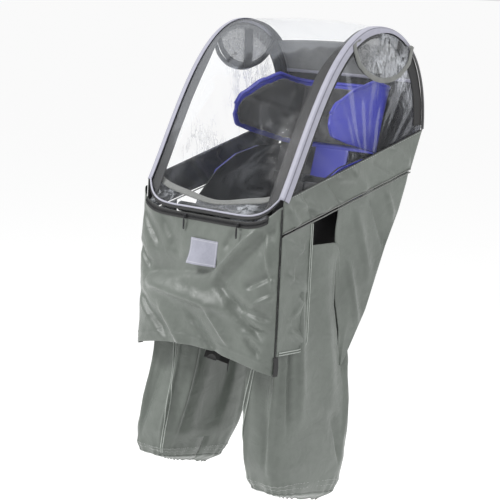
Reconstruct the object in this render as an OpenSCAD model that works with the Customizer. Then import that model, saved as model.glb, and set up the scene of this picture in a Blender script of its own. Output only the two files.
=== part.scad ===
// Front child seat for a bicycle handlebar, with its zip-up rain cover.
// X runs to the child's left, Y runs to the rear and Z is up.
// The origin is the middle of the handlebar, between the two clamps.

/* [Rain cover] */
// Width over the outside of the side panels
cover_w = 396; // [380:1:430]
// How far the roof stands above the handlebar
roof_h = 467; // [440:1:500]
// Room from the head guard's lock to the rear edge of the cover
rear_room = 109.2; // [95:0.1:130]
// How far the cover's front corners lie ahead of the handlebar
cover_front = 20; // [15:1:30]
// Height of the window's lower corners above the handlebar
corner_h = 120; // [110:1:130]
// Height of the rear end of the clear side window above the handlebar
sill_back_h = 251; // [235:1:265]
// Depth of the zip edge at mid-width above the handlebar
zip_h = 70; // [60:1:80]
// Depth of the front hem below the handlebar
hem_drop = 205; // [170:1:230]
// Forward bulge of the front panel
front_bulge = 38; // [25:1:45]
// Rise of the clear sheet between the two hoops
crown = 10; // [4:1:14]
// Thickness of every cover sheet
sheet_t = 2; // [1.2:0.1:2.4]
// Radius of the spring hoops
hoop_r = 3; // [2:0.1:3.5]
// Depth of the leg bags below the handlebar
bag_drop = 500; // [470:1:520]
// Forward hang of the right bag at its hem
bag_kick = 62; // [0:1:70]

/* [Zip] */
// Height of the zip tape
zip_w = 11; // [8:1:13]
// Width of each zip slider
slider_w = 9; // [7:0.5:11]
// Place of the left slider from the middle
slider_left_x = 107; // [60:1:110]
// Place of the right slider from the middle
slider_right_x = -45; // [-60:1:-30]
// Length of the pull tabs
tab_l = 26; // [18:1:30]

/* [Seat] */
// Outside width of the seat shell
seat_w = 300; // [280:1:320]
// Wall of the seat shell
shell_t = 4; // [3:0.5:5]
// Depth of the seat floor below the handlebar
floor_drop = 100; // [90:1:110]
// Recline of the back
recline = 14; // [10:1:16]
// Distance from the handlebar back to the foot of the backrest
back_y = 272; // [260:1:280]
// Height of the backrest along its slope
back_h = 225; // [210:1:230]
// Width over the head guard
head_w = 282; // [260:1:284]
// Height of the head guard
head_h = 145; // [120:1:150]
// Thickness of the head guard's padding
pad_t = 12; // [8:1:14]
// Thickness of the seat cushion
cushion_t = 28; // [18:1:32]
// Radius of the guard bar ahead of the child
guard_r = 11; // [8:0.5:13]
// Length of the leg guards below the seat floor
leg_l = 250; // [220:1:265]
// Length of the footrest plates
foot_l = 108; // [90:1:112]

/* [Mount] */
// Diameter of the handlebar at the clamps
bar_d = 25.4; // [22.2:0.1:31.8]
// Gap between the two clamps, which spans the stem
stem_gap = 60; // [50:1:70]
// Width of each clamp
clamp_w = 28; // [20:1:32]
// Wall of the clamps round the bar
clamp_wall = 9; // [7:0.5:11]
// Diameter of the clamp and bracket bolts
bolt_d = 6; // [5:0.5:6]
// Thickness of the steel bracket
plate_t = 5; // [4:0.5:6]
// Radius of the stay that rests on the head tube
stay_r = 9; // [7:0.5:11]

/* [Hidden] */
$fn = 48;

gap = 0.4;              // clearance between neighbouring pieces
cloth = [0.48, 0.52, 0.49];
black = [0.09, 0.09, 0.1];
clear = [0.85, 0.9, 0.93, 0.4];
blue = [0.16, 0.18, 0.72];
steel = [0.6, 0.62, 0.65];

lock_h = 148;           // height of the head guard's lock along the backrest
cover_back = back_y + lock_h * sin(recline) + rear_room;
half_w = cover_w / 2;
side_in = half_w - sheet_t;              // inner face of the side sheets
hoop_x = half_w - hoop_r;
sheet_x = hoop_x - hoop_r - gap;         // side edge of the sheets between the hoops
seat_x = seat_w / 2;
floor_z = -floor_drop;
bar_r = bar_d / 2;
clamp_r = bar_r + clamp_wall;
clamp_x0 = stem_gap / 2;
clamp_x1 = clamp_x0 + clamp_w;

// ---------- curves and surfaces ----------

function bezier(p, t) =
    pow(1 - t, 3) * p[0] + 3 * t * pow(1 - t, 2) * p[1]
    + 3 * t * t * (1 - t) * p[2] + pow(t, 3) * p[3];

// The hoop seen from the side: up the front, over the roof and down the back
hoop_low = [-cover_front, corner_h];
hoop_top = [245, roof_h];
hoop_end = [cover_back, sill_back_h];
hoop_front = [hoop_low, [48, 250], [115, roof_h - 5], hoop_top];
hoop_rear = [hoop_top, [345, roof_h + 4], [cover_back, 395], hoop_end];
function hoop(u) = u <= 1 ? bezier(hoop_front, u) : bezier(hoop_rear, u - 1);
function unit(v) = v / norm(v);
function slope(u) = unit(hoop(min(u + 0.01, 2)) - hoop(max(u - 0.01, 0)));
function outward(u) = [-slope(u)[1], slope(u)[0]];
function inset(u, d) = hoop(u) - d * outward(u);

brow = 0.8;             // where the window folds, along the hoop
roof_end = 1.47;        // where the clear roof meets the rear panel

// One closed solid between two grids of points. The rows of the outer grid run down,
// and its columns run from right to left, as seen from outside.
module skin(outer, inner) {
    rows = len(outer);
    cols = len(outer[0]);
    n = rows * cols;
    points = [for (g = [outer, inner]) for (row = g) for (p = row) p];
    function at(i, j) = i * cols + j;
    faces = concat(
        [for (i = [0:rows - 2]) for (j = [0:cols - 2])
            each [[at(i, j), at(i, j + 1), at(i + 1, j + 1)],
                  [at(i, j), at(i + 1, j + 1), at(i + 1, j)]]],
        [for (i = [0:rows - 2]) for (j = [0:cols - 2])
            each [[n + at(i, j), n + at(i + 1, j + 1), n + at(i, j + 1)],
                  [n + at(i, j), n + at(i + 1, j), n + at(i + 1, j + 1)]]],
        [for (i = [0:rows - 2])
            each [[at(i, 0), at(i + 1, 0), n + at(i + 1, 0)],
                  [at(i, 0), n + at(i + 1, 0), n + at(i, 0)],
                  [at(i, cols - 1), n + at(i, cols - 1), n + at(i + 1, cols - 1)],
                  [at(i, cols - 1), n + at(i + 1, cols - 1), at(i + 1, cols - 1)]]],
        [for (j = [0:cols - 2])
            each [[at(0, j), n + at(0, j), n + at(0, j + 1)],
                  [at(0, j), n + at(0, j + 1), at(0, j + 1)],
                  [at(rows - 1, j), at(rows - 1, j + 1), n + at(rows - 1, j + 1)],
                  [at(rows - 1, j), n + at(rows - 1, j + 1), n + at(rows - 1, j)]]]);
    polyhedron(points, faces, convexity = 6);
}

// A closed solid through a stack of rings
module loft(rings) {
    n = len(rings[0]);
    last = len(rings) - 1;
    polyhedron(
        [for (ring = rings) for (p = ring) p],
        concat(
            [[for (j = [0:n - 1]) j]],
            [for (i = [0:last - 1]) for (j = [0:n - 1])
                each [[i * n + j, (i + 1) * n + (j + 1) % n, i * n + (j + 1) % n],
                      [i * n + j, (i + 1) * n + j, (i + 1) * n + (j + 1) % n]]],
            [[for (j = [n - 1:-1:0]) last * n + j]]),
        convexity = 4);
}

// A round rod along points that lie in the plane X = x
module rod(path, x, r) {
    sides = 8;
    loft([for (i = [0:len(path) - 1])
        let (a = path[max(i - 1, 0)], b = path[min(i + 1, len(path) - 1)],
             d = unit(b - a), m = [-d[1], d[0]])
        [for (k = [0:sides - 1])
            let (w = 360 * k / sides)
            [x + r * cos(w), path[i][0] - r * sin(w) * m[0], path[i][1] - r * sin(w) * m[1]]]]);
}

// A flat sheet standing in a plane of constant X, from its outline in Y and Z
module side_plate(outline, x0, t) {
    translate([x0, 0, 0]) rotate([90, 0, 90]) linear_extrude(t) polygon(outline);
}

module on_side(side) {
    mirror([side < 0 ? 1 : 0, 0, 0]) children();
}

module in_back() {
    translate([0, back_y, floor_z + 10]) rotate([-recline, 0, 0]) children();
}

// ---------- handlebar mount ----------

jaw_back = clamp_r + 4;
bolt_y = bar_r + clamp_wall / 2 + 1.5;
cap_gap = 0.5;

module clamp_half(z0, z1) {
    difference() {
        translate([clamp_x0, -jaw_back, z0]) cube([clamp_w, 2 * jaw_back, z1 - z0]);
        translate([clamp_x0 - 1, 0, 0]) rotate([0, 90, 0])
            cylinder(r = bar_r, h = clamp_w + 2);
        for (y = [-bolt_y, bolt_y])
            translate([(clamp_x0 + clamp_x1) / 2, y, z0 - 1])
                cylinder(d = bolt_d + 0.4, h = z1 - z0 + 2);
    }
}

module clamp_jaws() {
    color(black) for (side = [-1, 1]) on_side(side) clamp_half(-clamp_r, -cap_gap);
}

module clamp_caps() {
    color(black) for (side = [-1, 1]) on_side(side) clamp_half(cap_gap, clamp_r);
}

module clamp_bolts() {
    head = 5;
    color(steel) for (side = [-1, 1]) on_side(side) for (y = [-bolt_y, bolt_y])
        translate([(clamp_x0 + clamp_x1) / 2, y, 0]) {
            translate([0, 0, -clamp_r - head]) cylinder(d = bolt_d, h = 2 * clamp_r + head);
            translate([0, 0, clamp_r]) cylinder(d = bolt_d * 1.6, h = head);
            translate([0, 0, -clamp_r - head]) cylinder(d = bolt_d * 1.6, h = head, $fn = 6);
        }
}

riser_y = jaw_back + gap;
bracket_x = clamp_x1 + 2;
bracket_end = 190;
shell_bolts = [[-45, 90], [45, 90], [-45, 165], [45, 165]];

module mount_bracket() {
    top = -gap;
    color(steel) difference() {
        union() {
            translate([-bracket_x, riser_y, floor_z - plate_t])
                cube([2 * bracket_x, plate_t, top - floor_z + plate_t]);
            translate([-bracket_x, riser_y, floor_z - plate_t])
                cube([2 * bracket_x, bracket_end - riser_y, plate_t]);
        }
        for (b = shell_bolts) translate([b[0], b[1], floor_z - plate_t - 1])
            cylinder(d = bolt_d + 0.4, h = plate_t + 2);
    }
}

module bracket_bolts() {
    head = 3.5;
    color(steel) for (b = shell_bolts) translate([b[0], b[1], 0]) {
        translate([0, 0, floor_z + shell_t]) cylinder(d = bolt_d * 1.8, h = head);
        translate([0, 0, floor_z - plate_t - 5])
            cylinder(d = bolt_d, h = plate_t + shell_t + 5);
        translate([0, 0, floor_z - plate_t - 5]) cylinder(d = bolt_d * 1.7, h = 5, $fn = 6);
    }
}

stay_tilt = 22;
stay_top_y = 66;
stay_l = 128;

module stay_place() {
    translate([0, stay_top_y, floor_z - plate_t - gap]) rotate([-stay_tilt, 0, 0])
        children();
}

module support_stay() {
    color(steel) difference() {
        stay_place() translate([0, 0, -stay_l]) cylinder(r = stay_r, h = stay_l + 8);
        translate([-50, 0, floor_z - plate_t]) cube([100, 140, 60]);
    }
}

module stay_pad() {
    tube_r = 17;
    color(black) stay_place() translate([0, 0, -stay_l - gap]) difference() {
        translate([-22, -16, -22]) cube([44, 32, 22]);
        translate([0, 0, -22 - tube_r * 0.45]) rotate([90, 0, 0])
            cylinder(r = tube_r, h = 40, center = true);
    }
}

// ---------- seat ----------

back_slope = tan(recline);
function back_at(z) = back_y + (z - floor_z - 10) * back_slope;
shell_front = 55;
wall_back_z = 190;

module shell_side(extra) {
    polygon([
        [shell_front, floor_z + extra], [shell_front, 12], [88, 88], [140, 140],
        [200, 172], [270, 188], [back_at(wall_back_z) + 0.01, wall_back_z],
        [back_at(floor_z), floor_z + extra]
    ]);
}

module seat_shell() {
    color(black) difference() {
        translate([-seat_x, 0, 0]) rotate([90, 0, 90]) linear_extrude(seat_w) shell_side(0);
        // the child's space, open to the front and the top
        translate([-seat_x + shell_t, 0, 0]) rotate([90, 0, 90])
            linear_extrude(seat_w - 2 * shell_t) polygon([
                [0, floor_z + shell_t], [0, 400], [back_at(400), 400],
                [back_at(floor_z + 10 + back_h * cos(recline)) , floor_z + 10 + back_h * cos(recline)],
                [back_at(floor_z + 10 + back_h * cos(recline)) - shell_t,
                    floor_z + 10 + back_h * cos(recline)],
                [back_at(floor_z + shell_t) - shell_t, floor_z + shell_t]
            ]);
        // the wall is cut away above the backrest, where the head guard slides
        translate([-seat_x + shell_t, back_at(0) - 60, floor_z + 10 + back_h * cos(recline)])
            cube([seat_w - 2 * shell_t, 160, 200]);
        for (b = shell_bolts) translate([b[0], b[1], floor_z - 1])
            cylinder(d = bolt_d + 0.4, h = shell_t + 2);
    }
}

cushion_x = seat_x - shell_t - 26;

module seat_cushion() {
    base = floor_z + shell_t + 4;
    rim = 10;
    color(black) translate([0, 0, base]) hull() {
        for (x = [-1, 1]) for (y = [shell_front + 26, back_at(base) - 40])
            translate([x * (cushion_x - rim), y, 0]) cylinder(r = rim, h = cushion_t - 8, $fn = 24);
        for (x = [-1, 1]) for (y = [shell_front + 30, back_at(base) - 44])
            translate([x * (cushion_x - rim - 6), y, cushion_t - 10])
                cylinder(r = rim, h = 10, $fn = 24);
    }
}

back_pad_t = 22;

module back_cushion() {
    rim = 12;
    color(black) in_back() translate([0, -shell_t - gap, 0]) rotate([90, 0, 0]) hull() {
        for (x = [-1, 1]) for (z = [cushion_t + 24, back_h - 18])
            translate([x * (cushion_x - rim), z, 0]) cylinder(r = rim, h = back_pad_t - 8, $fn = 24);
        for (x = [-1, 1]) for (z = [cushion_t + 30, back_h - 24])
            translate([x * (cushion_x - rim - 6), z, back_pad_t - 8])
                cylinder(r = rim, h = 8, $fn = 24);
    }
}

module side_cheek() {
    color(blue) side_plate([
        [128, 118], [140, 139], [200, 171], [270, 187], [back_at(184) - 6, 184],
        [back_at(120) - 10, 120], [230, 98], [150, 96]
    ], seat_x + gap, 4);
}

// The head guard is a U in plan, trimmed to a wing shape from the side
head_z = 292;
head_back = 14;         // how far its back stands behind the backrest
head_shell = 6;
head_front = 182;

module head_plan(grow) {
    r = 40;
    x = head_w / 2 - grow;
    y1 = head_back - grow;
    polygon(concat(
        [[-x, -head_front]],
        [for (a = [180:-10:90]) [-x + r + r * cos(a), y1 - r + r * sin(a)]],
        [for (a = [90:-10:0]) [x - r + r * cos(a), y1 - r + r * sin(a)]],
        [[x, -head_front]]));
}

module head_trim() {
    h = head_h;
    translate([-200, 0, 0]) rotate([90, 0, 90]) linear_extrude(400) polygon([
        [60, 0], [60, h], [-60, h], [-110, h * 0.82], [-head_front + 12, h * 0.5],
        [-head_front, h * 0.38], [-head_front, h * 0.1], [-head_front + 16, 0]
    ]);
}

tongue_x = 48;

module head_guard() {
    color(blue) in_back() translate([0, 0, head_z]) {
        intersection() {
            difference() {
                linear_extrude(head_h) head_plan(0);
                translate([0, 0, -1]) linear_extrude(head_h + 2) head_plan(head_shell);
                translate([-head_w, -head_front - 1, -1])
                    cube([2 * head_w, 0.5, head_h + 2]);
            }
            head_trim();
        }
        translate([-tongue_x, head_back - head_shell, -196]) cube([2 * tongue_x, head_shell, 196]);
    }
}

module head_pad() {
    color(black) in_back() translate([0, 0, head_z]) intersection() {
        difference() {
            linear_extrude(head_h) head_plan(head_shell + gap);
            translate([0, 0, -1]) linear_extrude(head_h + 2) head_plan(head_shell + gap + pad_t);
        }
        translate([0, 3, 3]) head_trim();
        translate([-200, -200, 2]) cube([400, 300, head_h - 4]);
    }
}

guide_h = 60;
guide_z = lock_h - guide_h / 2;
guide_x = tongue_x + 10;
guide_wall = 6;
lock_r = 9;
lock_travel = 3;

module head_guide() {
    front = gap;
    back = head_back + gap + guide_wall;
    color(black) in_back() difference() {
        translate([-guide_x, front, guide_z]) cube([2 * guide_x, back - front, guide_h]);
        translate([-tongue_x - gap, head_back - head_shell - gap, guide_z - 1])
            cube([2 * tongue_x + 2 * gap, head_shell + 2 * gap, guide_h + 2]);
        translate([0, head_back, guide_z + guide_h / 2]) rotate([-90, 0, 0])
            cylinder(r = lock_r + 0.3, h = 30);
    }
}

module head_lock() {
    color(blue) in_back() translate([0, head_back + lock_travel + gap, guide_z + guide_h / 2])
        rotate([-90, 0, 0]) cylinder(r = lock_r, h = guide_wall + lock_travel);
}

guard_y = 30;
guard_z = 66;

module guard_bar() {
    arm_x = seat_x - shell_t - gap;
    color(black) {
        translate([-arm_x, guard_y, guard_z]) rotate([0, 90, 0])
            cylinder(r = guard_r, h = 2 * arm_x);
        for (side = [-1, 1]) on_side(side)
            side_plate([[guard_y, guard_z - guard_r], [guard_y, guard_z + guard_r],
                        [100, 62], [100, 30], [70, 30]], arm_x - 9, 9);
    }
}

strap_w = 34;
strap_t = 2.2;
strap_x = 46;

// A band in the plane of Y and Z, followed from point to point
module band(path, w, t) {
    n = len(path);
    function side(i) =
        let (a = path[max(i - 1, 0)], b = path[min(i + 1, n - 1)], d = unit(b - a))
        [-d[1], d[0]];
    rotate([90, 0, 90]) linear_extrude(w, center = true) polygon(concat(
        [for (i = [0:n - 1]) path[i] - t * side(i)],
        [for (i = [n - 1:-1:0]) path[i]]));
}

pad_face = back_pad_t + shell_t + gap;
buckle_y = 150;
buckle_z = -20;

module shoulder_straps() {
    color(black) for (x = [-strap_x, strap_x]) translate([x, 0, 0]) in_back()
        band([[0.6, back_h - 40], [0.6, back_h + 0.8], [-pad_face - 1, back_h + 0.8],
              [-pad_face - 0.6, 60]], strap_w, strap_t);
}

module crotch_strap() {
    top = floor_z + shell_t + 4 + cushion_t;
    color(black) translate([-strap_w / 2, buckle_y, top + gap])
        cube([strap_w, strap_t, buckle_z - top - 2 * gap]);
}

button_x = 10;
button_h = 20;
button_travel = 3;

module buckle_body() {
    color(black) difference() {
        translate([-24, buckle_y - 8, buckle_z]) cube([48, 16, 52]);
        translate([-button_x - gap, buckle_y - 9, buckle_z + 16 - gap])
            cube([2 * button_x + 2 * gap, 8, button_h + 2 * gap]);
    }
}

module buckle_button() {
    color([0.7, 0.1, 0.1]) translate([-button_x, buckle_y - 10, buckle_z + 16])
        cube([2 * button_x, 5, button_h]);
}

// ---------- leg guards ----------

leg_in = 86;
leg_out = 160;
leg_front = 32;
leg_back = 150;
leg_wall = 4;
leg_bottom = floor_z - leg_l;

module leg_guard() {
    color(black) difference() {
        union() {
            translate([leg_in, leg_front, leg_bottom])
                cube([leg_out - leg_in, leg_back - leg_front, leg_l - gap]);
            translate([seat_x + gap, leg_front + 30, floor_z - 1])
                cube([leg_out - seat_x - gap, 60, 56]);
        }
        translate([leg_in + leg_wall, leg_front + leg_wall, leg_bottom - 1])
            cube([leg_out - leg_in - 2 * leg_wall, leg_back, leg_l + 40]);
        translate([seat_x - 40, leg_front + 20, floor_z - gap])
            cube([40 + gap, 200, 80]);
    }
}

foot_z = leg_bottom + 14;
foot_t = 7;
foot_x0 = leg_in + leg_wall + gap;
foot_x1 = leg_out - leg_wall - gap;
foot_y0 = leg_front + leg_wall + gap;

module footrest() {
    color(black) translate([foot_x0, foot_y0, foot_z]) {
        cube([foot_x1 - foot_x0, foot_l, foot_t]);
        translate([0, foot_l - 5, 0]) cube([foot_x1 - foot_x0, 5, 18]);
    }
}

module foot_strap() {
    w = foot_x1 - foot_x0 - 8;
    h = 52;
    color(black) translate([foot_x0 + 4, foot_y0 + 42, foot_z + foot_t + gap]) difference() {
        cube([w, 28, h]);
        translate([strap_t, -1, -1]) cube([w - 2 * strap_t, 30, h + 1 - strap_t]);
    }
}

// ---------- cover: hoops and clear sheets ----------

module hoop_rod() {
    steps = 30;
    color(black) rod([for (i = [0:steps]) inset(2 * i / steps, hoop_r)], hoop_x, hoop_r);
}

// Round edge of the window's lower corners, as a rise towards the sides
function corner_rise(s) = (corner_h - zip_h) * pow(abs(s), 7);
// Plan of the front: 0 at the sides and 1 over most of the width
function plan(s) = pow(1 - pow(abs(s), 5), 1 / 2.2);

cols = 18;
function across(j) = let (a = 2 * j / cols - 1) sign(a) * (1 - pow(1 - abs(a), 1.5));

// Point of the sheet between the hoops, at u along them and s across
function sheet_point(u, s, depth) =
    let (h = inset(u, depth), n = outward(u),
         c = crown * (1 - s * s) * min(1, 0.6 + u))
    [s * sheet_x, h[0] + c * n[0], h[1] + c * n[1]];

// The front sheet runs on below the hoops' lower ends, down to the zip
function window_point(v, s, depth) =
    let (drop = corner_rise(1) - corner_rise(s),
         q = sheet_point(v * brow, s, depth),
         fade = pow(1 - v, 3))
    [q[0], q[1] - drop * 0.45 * fade, q[2] - drop * fade];

module front_window() {
    rows = 12;
    color(clear) skin(
        [for (i = [rows:-1:0]) [for (j = [0:cols]) window_point(i / rows, across(j), 0)]],
        [for (i = [rows:-1:0]) [for (j = [0:cols]) window_point(i / rows, across(j), sheet_t)]]);
}

module between_hoops(u0, u1, rows) {
    skin([for (i = [rows:-1:0]) [for (j = [0:cols])
             sheet_point(u0 + (u1 - u0) * i / rows, across(j), 0)]],
         [for (i = [rows:-1:0]) [for (j = [0:cols])
             sheet_point(u0 + (u1 - u0) * i / rows, across(j), sheet_t)]]);
}

seam = 0.002;           // half gap between neighbouring sheets, along the hoop

module roof_window() {
    color(clear) between_hoops(brow + seam, roof_end - seam, 10);
}

// Rear edge of the side panels, below the hoops
back_edge = [
    hoop_end, [cover_back - 34, sill_back_h - 86], [cover_back - 67, sill_back_h - 172],
    [cover_back - 105, sill_back_h - 246], [cover_back - 161, sill_back_h - 382],
    [cover_back - 234, sill_back_h - 493]
];
rear_low = 3;           // the rear panel ends at this corner of the back edge

module rear_panel() {
    rows = 6;
    upper = [for (i = [0:rows]) [for (d = [0, sheet_t]) [for (j = [0:cols])
        sheet_point(roof_end + seam + (2 - roof_end - seam) * i / rows, across(j), d)]]];
    lower = [for (k = [1:rear_low]) [for (d = [0, sheet_t]) [for (j = [0:cols])
        let (s = across(j), c = crown * (1 - s * s) - d)
        [s * sheet_x, back_edge[k][0] + c * 0.93, back_edge[k][1] - c * 0.37]]]];
    all = concat(upper, lower);
    last = len(all) - 1;
    color(cloth) skin([for (i = [last:-1:0]) all[i][0]], [for (i = [last:-1:0]) all[i][1]]);
}

// The line between the clear side window and the cloth below it
function sill(y) = corner_h + (sill_back_h - corner_h) * (y + cover_front)
    / (cover_back + cover_front);
edge = hoop_r * 2 + gap;

module side_window() {
    steps = 28;
    color(clear) side_plate(concat(
        [for (i = [1:steps - 1]) inset(2 * i / steps, edge)],
        [[cover_back - edge - 1, sill(cover_back - edge) + gap],
         [-cover_front + edge + 2, sill(-cover_front + edge + 2) + gap]]
    ), side_in, sheet_t);
}

// The lower edge of the cloth band passes over the handlebar
function welt(y) = 50 + (y + cover_front) * (sill_back_h - 133) / (cover_back + cover_front - 18);
band_back = cover_back - 19;

module side_band() {
    color(cloth) side_plate([
        [-cover_front + gap, welt(-cover_front)], [-cover_front + gap, corner_h - edge - 3],
        [-cover_front + edge + 4, sill(-cover_front + edge + 4) - gap],
        [cover_back - 2, sill(cover_back - 2) - gap],
        [cover_back - 34, sill_back_h - 86 + 2], [band_back - 16, welt(band_back - 16)]
    ], side_in, sheet_t);
}

panel_front = 164;
slot_floor = 24;        // the handlebar passes above this edge
bag_top = floor_z - 6;

module side_panel() {
    color(cloth) side_plate([
        [panel_front, welt(panel_front) - gap], [band_back - 18, welt(band_back - 18) - gap],
        back_edge[2], back_edge[3], back_edge[4], back_edge[5],
        [184, back_edge[5][1] + 6], [178, bag_top - 8], [14, bag_top - 8],
        [60, slot_floor], [panel_front, slot_floor]
    ], side_in, sheet_t);
}

// ---------- cover: front ----------

apron_bottom = -hem_drop;
top_bulge = 0.72;       // share of the bulge that is left at the zip
seam_bottom = -hem_drop - 30;

// Front cloth at height fraction v, from the zip down to the hem, and s across
function apron_point(v, s, depth) =
    let (top = zip_h - gap + corner_rise(s) * 0.9,
         bottom = apron_bottom + (seam_bottom - apron_bottom) * pow(abs(s), 2),
         z = top + (bottom - top) * v,
         bulge = front_bulge * (top_bulge + (1 - top_bulge) * sin(min(v, 0.5) * 180)) * plan(s))
    [s * (half_w - depth), -cover_front - gap - sheet_t - bulge + depth, z];

module front_apron() {
    rows = 8;
    color(cloth) skin(
        [for (i = [0:rows]) [for (j = [0:cols]) apron_point(i / rows, across(j), 0)]],
        [for (i = [0:rows]) [for (j = [0:cols]) apron_point(i / rows, across(j), sheet_t)]]);
}

// A patch that lies on the outside of the front cloth, t thick and off it by the gap
module front_patch(v0, v1, s0, s1, t) {
    steps = 16;
    rows = 3;
    function p(i, j, d) = apron_point(v0 + (v1 - v0) * i / rows, s0 + (s1 - s0) * j / steps, 0)
        - [0, gap + t - d, 0];
    skin([for (i = [0:rows]) [for (j = [0:steps]) p(i, j, 0)]],
         [for (i = [0:rows]) [for (j = [0:steps]) p(i, j, t)]]);
}

zip_t = 1.2;
apron_h = zip_h + hem_drop;

module zip_tape() {
    color(black) front_patch(0.002, zip_w / apron_h, -0.82, 0.82, zip_t);
}

slider_t = 4;
slider_y = -cover_front - sheet_t - front_bulge * (top_bulge + 0.04) - zip_t - slider_t - 2.6 * gap;
slider_z = zip_h - zip_w - 1;

module zip_slider(x) {
    color(black) difference() {
        translate([x - slider_w / 2, slider_y, slider_z]) cube([slider_w, slider_t, zip_w - 2]);
        translate([x - slider_w / 2 - 1, slider_y + 1, slider_z + 2]) rotate([0, 90, 0])
            cylinder(r = 0.7, h = slider_w + 2);
    }
}

module pull_tab(x) {
    color(black) translate([x, slider_y - gap, slider_z + 3]) difference() {
        translate([-2.5, -1.6, -tab_l]) cube([5, 1.6, tab_l]);
        translate([0, 0, -tab_l + 4]) rotate([90, 0, 0]) cylinder(r = 1.1, h = 5, center = true);
    }
}

// Clear guard standing up behind the zip, which keeps rain out when the window lifts
module splash_guard() {
    rows = 3;
    rise = 46;
    function p(v, s, d) = v == 0
        ? apron_point(8 / apron_h, s, sheet_t + d) + [0, 0.6 * gap, 0]
        : apron_point(0, s, sheet_t) + [-d * s, 3 * gap + d + rise * v * 0.8, -8 + (rise + 8) * v];
    color(clear) skin(
        [for (i = [rows:-1:0]) [for (j = [0:cols]) p(i / rows, across(j) * 0.86, 0)]],
        [for (i = [rows:-1:0]) [for (j = [0:cols]) p(i / rows, across(j) * 0.86, sheet_t)]]);
}

module label_patch() {
    w = 78;
    h = 52;
    x = 16;
    drop = 48;
    color([0.66, 0.67, 0.72]) front_patch(drop / apron_h, (drop + h) / apron_h,
        (x - w / 2) / half_w, (x + w / 2) / half_w, 1);
}

flap_w = 92;
flap_t = 1.6;
flap_bottom = -196;

module side_flap() {
    r = 26;
    y0 = -cover_front - 2;
    y1 = y0 + flap_w;
    color(cloth) side_plate(concat(
        [[y0, flap_bottom], [y0, welt(y0) - 3], [y1, welt(y1) - 3]],
        [for (a = [0:-15:-90]) [y1 - r + r * cos(a), flap_bottom + 6 + r + r * sin(a)]]
    ), half_w + gap, flap_t);
}

// ---------- cover: leg bags ----------

// Height, inner side, outer side, front and back of each section of a bag, and how far
// its back hangs below its front
bag_sections = [
    [bag_top, 76, side_in - gap, 8, 196, 0], [-170, 76, side_in - gap, 5, 212, 0],
    [-246, 77, side_in - gap, 3, 226, 0], [-330, 76, 200, 0, 238, 6], [-bag_drop + 65, 78, 201, -2, 236, 14],
    [-bag_drop + 22, 84, 196, 6, 228, 22], [-bag_drop + 5, 92, 188, 16, 218, 26]
];

function bag_ring(k, wall, kick) =
    let (q = bag_sections[k],
         hang = kick * pow(max(0, (bag_top - q[0]) / (bag_drop + bag_top) - 0.3) / 0.7, 1.2),
         cx = (q[1] + q[2]) / 2, cy = (q[3] + q[4]) / 2,
         ax = (q[2] - q[1]) / 2 - wall, ay = (q[4] - q[3]) / 2 - wall, round = 0.52)
    [for (a = [0:11.25:359])
        let (y = cy + ay * sign(sin(a)) * pow(abs(sin(a)), round))
        [cx + ax * sign(cos(a)) * pow(abs(cos(a)), round), y - hang,
         q[0] + hang * 0.5 - q[5] * (y - q[3]) / (q[4] - q[3])]];

bag_joint = 2;          // section where the sleeve is sewn to the wider cuff
bag_last = len(bag_sections) - 1;

module bag_tube(kick, k0, k1) {
    function inner(k, lift) = [for (p = bag_ring(k, sheet_t, kick)) p + [0, 0, lift]];
    color(cloth) difference() {
        loft([for (k = [k1:-1:k0]) bag_ring(k, 0, kick)]);
        loft(concat(
            k1 == bag_last ? [] : [inner(k1, -5)],
            [for (k = [k1:-1:k0]) inner(k, k == bag_last ? sheet_t : 0)],
            [inner(k0, 5)]));
    }
}

module leg_bag(kick) {
    bag_tube(kick, 0, bag_joint);
}

module bag_cuff(kick) {
    bag_tube(kick, bag_joint, bag_last);
}

// Elastic gather under the hem of each bag
module bag_gather(kick) {
    last = len(bag_sections) - 1;
    rim = bag_ring(last, 1, kick);
    centre = [for (i = [0:2]) [for (p = rim) p[i]] * [for (p = rim) 1] / len(rim)];
    color(cloth) loft([
        for (f = [[0.5, 26], [0.78, 16], [0.96, gap]])
            [for (p = rim) centre + (p - centre) * f[0] - [0, 0, f[1]]]
    ]);
}

// ---------- cover: vents ----------

vent_y = 268;
vent_r = 104;
vent_drop = 92;

// The half-moon of mesh at the top of each side
module vent_outline(grow) {
    intersection() {
        polygon([for (i = [0:40]) let (a = 9 * i)
            [vent_y + (vent_r + grow) * cos(a), roof_h - 14 + (vent_drop + grow) * sin(a)]]);
        polygon(concat([for (i = [4:22]) inset(2 * i / 25, edge + 4 - grow)],
                       [[vent_y + 140, 300], [vent_y - 140, 300]]));
    }
}

module vent_mesh() {
    color([0.45, 0.46, 0.47]) translate([side_in - gap - 1, 0, 0]) rotate([90, 0, 90])
        linear_extrude(1) vent_outline(0);
}

module vent_strap() {
    color(black) translate([side_in - 2 * gap - 2.2, vent_y - 12, roof_h - 14 - vent_drop + 1])
        cube([1.2, 24, vent_drop - 12]);
}

// Clear hood over the mesh, hinged along its top edge and open at the bottom
module vent_hood() {
    color(clear) translate([half_w + gap, 0, 0]) rotate([90, 0, 90])
        linear_extrude(1.2) vent_outline(3);
}

// ---------- assembly ----------

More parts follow.
